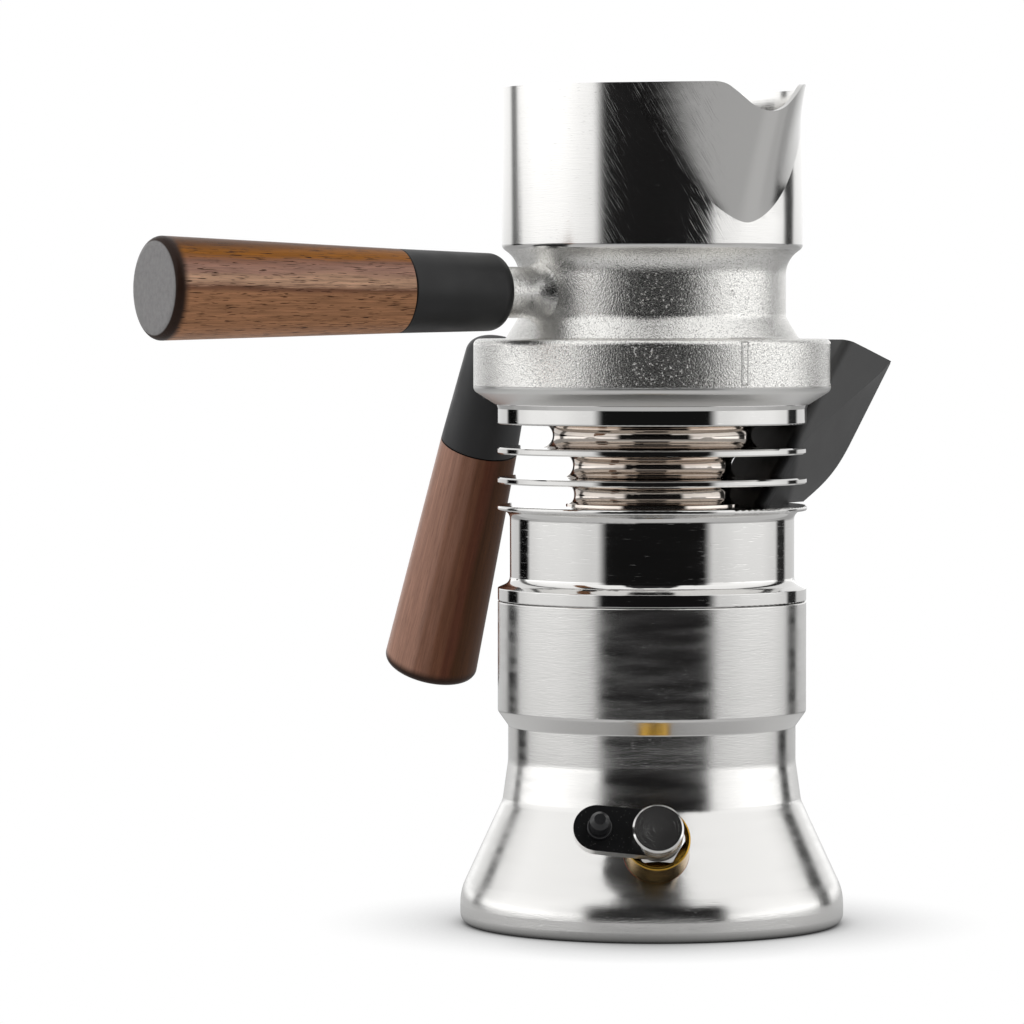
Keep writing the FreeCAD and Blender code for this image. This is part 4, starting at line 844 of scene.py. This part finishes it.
@dataclass(frozen=True)
class Patch:
    """A part of the studio round the pot that is darker or brighter than its white panels.

    Angles are in degrees: round the pot from the camera's side, and up from level.
    """

    around: tuple[float, float]
    rise: tuple[float, float]
    level: float
    soft: float = 2.5
    fade: float = 2.5

    def over(self, tree: Tree, around: Socket, rise: Socket, light: Socket) -> Socket:
        """Scales the light inside the patch by the patch's level.

        Args:
            tree: the world's node tree.
            around: the angle round the pot, in radians.
            rise: the angle up from level, in radians.
            light: the light level so far.

        Returns:
            The light level with the patch in it.
        """
        wide = between(tree, around, *map(math.radians, (*self.around, self.soft)))
        high = between(tree, rise, *map(math.radians, (*self.rise, self.fade)))
        inside = add(tree, "ShaderNodeMath", {0: wide, 1: high}, operation="MULTIPLY")
        factor = add(tree, "ShaderNodeMapRange", {"Value": inside, "To Min": 1.0, "To Max": self.level})
        return add(tree, "ShaderNodeMath", {0: light, 1: factor}, operation="MULTIPLY")


@dataclass
class Studio:
    """A white board, tall white panels on both sides, and the camera of the product shot."""

    distance: float = 1508 * MM
    eye_height: float = 173.7 * MM
    azimuth_deg: float = -32.0
    aim_left_deg: float = 1.531
    aim_down_deg: float = 2.1
    lens_mm: float = 184.2
    sensor_mm: float = 36.0
    table_radius: float = 320 * MM
    table_sides: int = 96
    table_mirrored: float = 0.6
    shadow_reach: float = 43 * MM
    shadow_power: float = 1.3
    shadow_samples: int = 16
    horizon_rise: tuple[float, float] = (-8.0, 2.0)
    horizon_level: tuple[float, float] = (0.56, 1.36)
    ceiling_rise: tuple[float, float] = (8.0, 40.0)
    ceiling_level: tuple[float, float] = (1.36, 1.15)
    patches: tuple[Patch, ...] = (
        Patch((-41.0, 46.5), (-19.0, 27.0), 0.009, 5.0, 5.0),
        Patch((-25.0, 24.0), (16.0, 65.0), 0.02, 3.0),
        Patch((-136.5, -119.0), (-9.5, 0.6), 0.004, 3.0, 0.5),
        Patch((-135.0, -124.5), (0.6, 62.0), 0.15, 3.0, 0.5),
        Patch((121.0, 136.5), (-9.5, 62.0), 0.03, 3.0),
        Patch((-62.0, 66.0), (-100.0, 19.0), 0.84, 14.0),
        Patch((108.0, 200.0), (-100.0, 62.0), 0.86, 10.0),
        Patch((-200.0, -108.0), (-100.0, 62.0), 0.86, 10.0),
        Patch((130.0, 200.0), (-100.0, 62.0), 0.84),
        Patch((-200.0, -130.0), (-100.0, 62.0), 0.84),
        Patch((-200.0, 200.0), (0.7, 7.0), 1.3, 2.5, 0.8))

    def camera(self) -> None:
        """Places the camera where the photograph was taken from."""
        azimuth = math.radians(self.azimuth_deg)
        data = bpy.data.cameras.new("camera")
        data.lens = self.lens_mm
        data.sensor_width = self.sensor_mm
        camera = bpy.data.objects.new("camera", data)
        camera.location = (self.distance * math.sin(azimuth), -self.distance * math.cos(azimuth),
                           self.eye_height)
        camera.rotation_euler = (math.radians(90 - self.aim_down_deg), 0.0,
                                 azimuth + math.radians(self.aim_left_deg))
        bpy.context.scene.collection.objects.link(camera)
        bpy.context.scene.camera = camera

    def table(self) -> None:
        """Lays a white table top that glows evenly, with a painted contact shadow where the pot stands close
        over it.
        """
        bpy.ops.mesh.primitive_circle_add(
            vertices=self.table_sides, radius=self.table_radius, fill_type="NGON")
        table = bpy.context.object
        table.name = "table_top"
        material = bpy.data.materials.new("table_white")
        material.use_nodes = True
        tree = material.node_tree
        tree.nodes.remove(tree.nodes["Principled BSDF"])
        # Painted contact shadow: ambient occlusion dims the table's glow near the pot.
        near = add(tree, "ShaderNodeAmbientOcclusion", {"Distance": self.shadow_reach}, out="AO",
                   samples=self.shadow_samples)
        near = add(tree, "ShaderNodeMath", {0: near, 1: self.shadow_power}, operation="POWER")
        level = add(tree, "ShaderNodeMapRange", {
            "Value": self.seen_white(tree), "To Min": self.table_mirrored, "To Max": 1.0})
        level = add(tree, "ShaderNodeMath", {0: near, 1: level}, operation="MULTIPLY")
        light = add(tree, "ShaderNodeEmission", {"Color": linear(Shade.WHITE), "Strength": level})
        tree.links.new(light, tree.nodes["Material Output"].inputs["Surface"])
        table.data.materials.append(material)

    def seen_white(self, tree: Tree) -> Socket:
        """Makes a factor that is 1 for the rays that see the background as white."""
        camera, transmission = (add(tree, "ShaderNodeLightPath", out=ray.value) for ray in Ray)
        return add(tree, "ShaderNodeMath", {0: camera, 1: transmission}, operation="MAXIMUM")

    def surroundings(self) -> None:
        """Builds the white panels and the dark gaps between them, as the steel mirrors them."""
        world = bpy.data.worlds.new("studio")
        bpy.context.scene.world = world
        world.use_nodes = True
        tree = world.node_tree
        direction = add(tree, "ShaderNodeTexCoord", out="Generated")
        turn = (0.0, 0.0, math.radians(90 - self.azimuth_deg))
        turned = add(tree, "ShaderNodeMapping", {"Vector": direction, "Rotation": turn})
        split = add(tree, "ShaderNodeSeparateXYZ", {0: turned}).node
        around = add(tree, "ShaderNodeMath", {0: split.outputs["Y"], 1: split.outputs["X"]},
                     operation="ARCTAN2")
        rise = add(tree, "ShaderNodeMath", {0: split.outputs["Z"]}, operation="ARCSINE")
        horizon, ceiling = (
            add(tree, "ShaderNodeMapRange", {
                "Value": rise, "From Min": math.radians(rises[0]), "From Max": math.radians(rises[1]),
                "To Min": levels[0], "To Max": levels[1]})
            for rises, levels in ((self.horizon_rise, self.horizon_level),
                                  (self.ceiling_rise, self.ceiling_level)))
        light = add(tree, "ShaderNodeMath", {0: horizon, 1: ceiling}, operation="MINIMUM")
        for patch in self.patches:
            light = patch.over(tree, around, rise, light)
        level = add(tree, "ShaderNodeMix", {
            MIX_FACTOR: self.seen_white(tree), NUMBER_A: light, NUMBER_B: 1.0}, data_type="FLOAT")
        background = tree.nodes["Background"]
        background.inputs["Color"].default_value = linear(Shade.WHITE)
        tree.links.new(level, background.inputs["Strength"])

    def build(self) -> None:
        """Sets up the camera, the table top and the surroundings."""
        bpy.context.scene.view_settings.view_transform = "Standard"
        self.table()
        self.camera()
        self.surroundings()


def main() -> None:
    """Dresses every sub-assembly and sets up the studio."""
    logging.basicConfig(level=logging.INFO, format="%(message)s")
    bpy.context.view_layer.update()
    bpy.ops.object.select_all(action="DESELECT")
    rise, fall = math.radians(0.45), math.radians(23.8)
    # The jug grip's bands follow the grain, and its pale and rose bands are also a painted sheen.
    jug_handle = Handle(
        "jug_grip", "jug_ferrule", start=(-0.0505, 0.0, 0.1815),
        axis=(-math.cos(rise), 0.0, math.sin(rise)),
        bands=((-15.0, Shade.WALNUT_TAN), (-0.6, Shade.WALNUT_MID), (1.0, Shade.WALNUT_PALE),
               (4.2, Shade.WALNUT_ROSE), (6.8, Shade.WALNUT_BROWN), (8.6, Shade.WALNUT_GOLD),
               (11.2, Shade.WALNUT_UMBER)), black=Shade.BLACK_FERRULE)
    # The boiler grip's bands are painted light: a painted lit side with sheen at one edge, down to a painted
    # shaded side, across the view.
    boiler_handle = Handle(
        "boiler_grip", "handle_bracket", start=(0.0, 0.0855, 0.1665),
        axis=(0.0, math.sin(fall), -math.cos(fall)),
        bands=((-15.0, Shade.WALNUT_ROSE), (-5.5, Shade.WALNUT_BROWN), (-0.6, Shade.WALNUT_MID),
               (2.8, Shade.WALNUT_DEEP), (5.8, Shade.WALNUT_DARK)), turn_deg=29.8, pores=0.2, fibres=0.2)
    for part in (Boiler(), ReliefValve(), UpperBoiler(), BrewGroup(), Jug(), jug_handle, boiler_handle):
        part.dress()
    Studio().build()


if __name__ == "__main__":
    main()
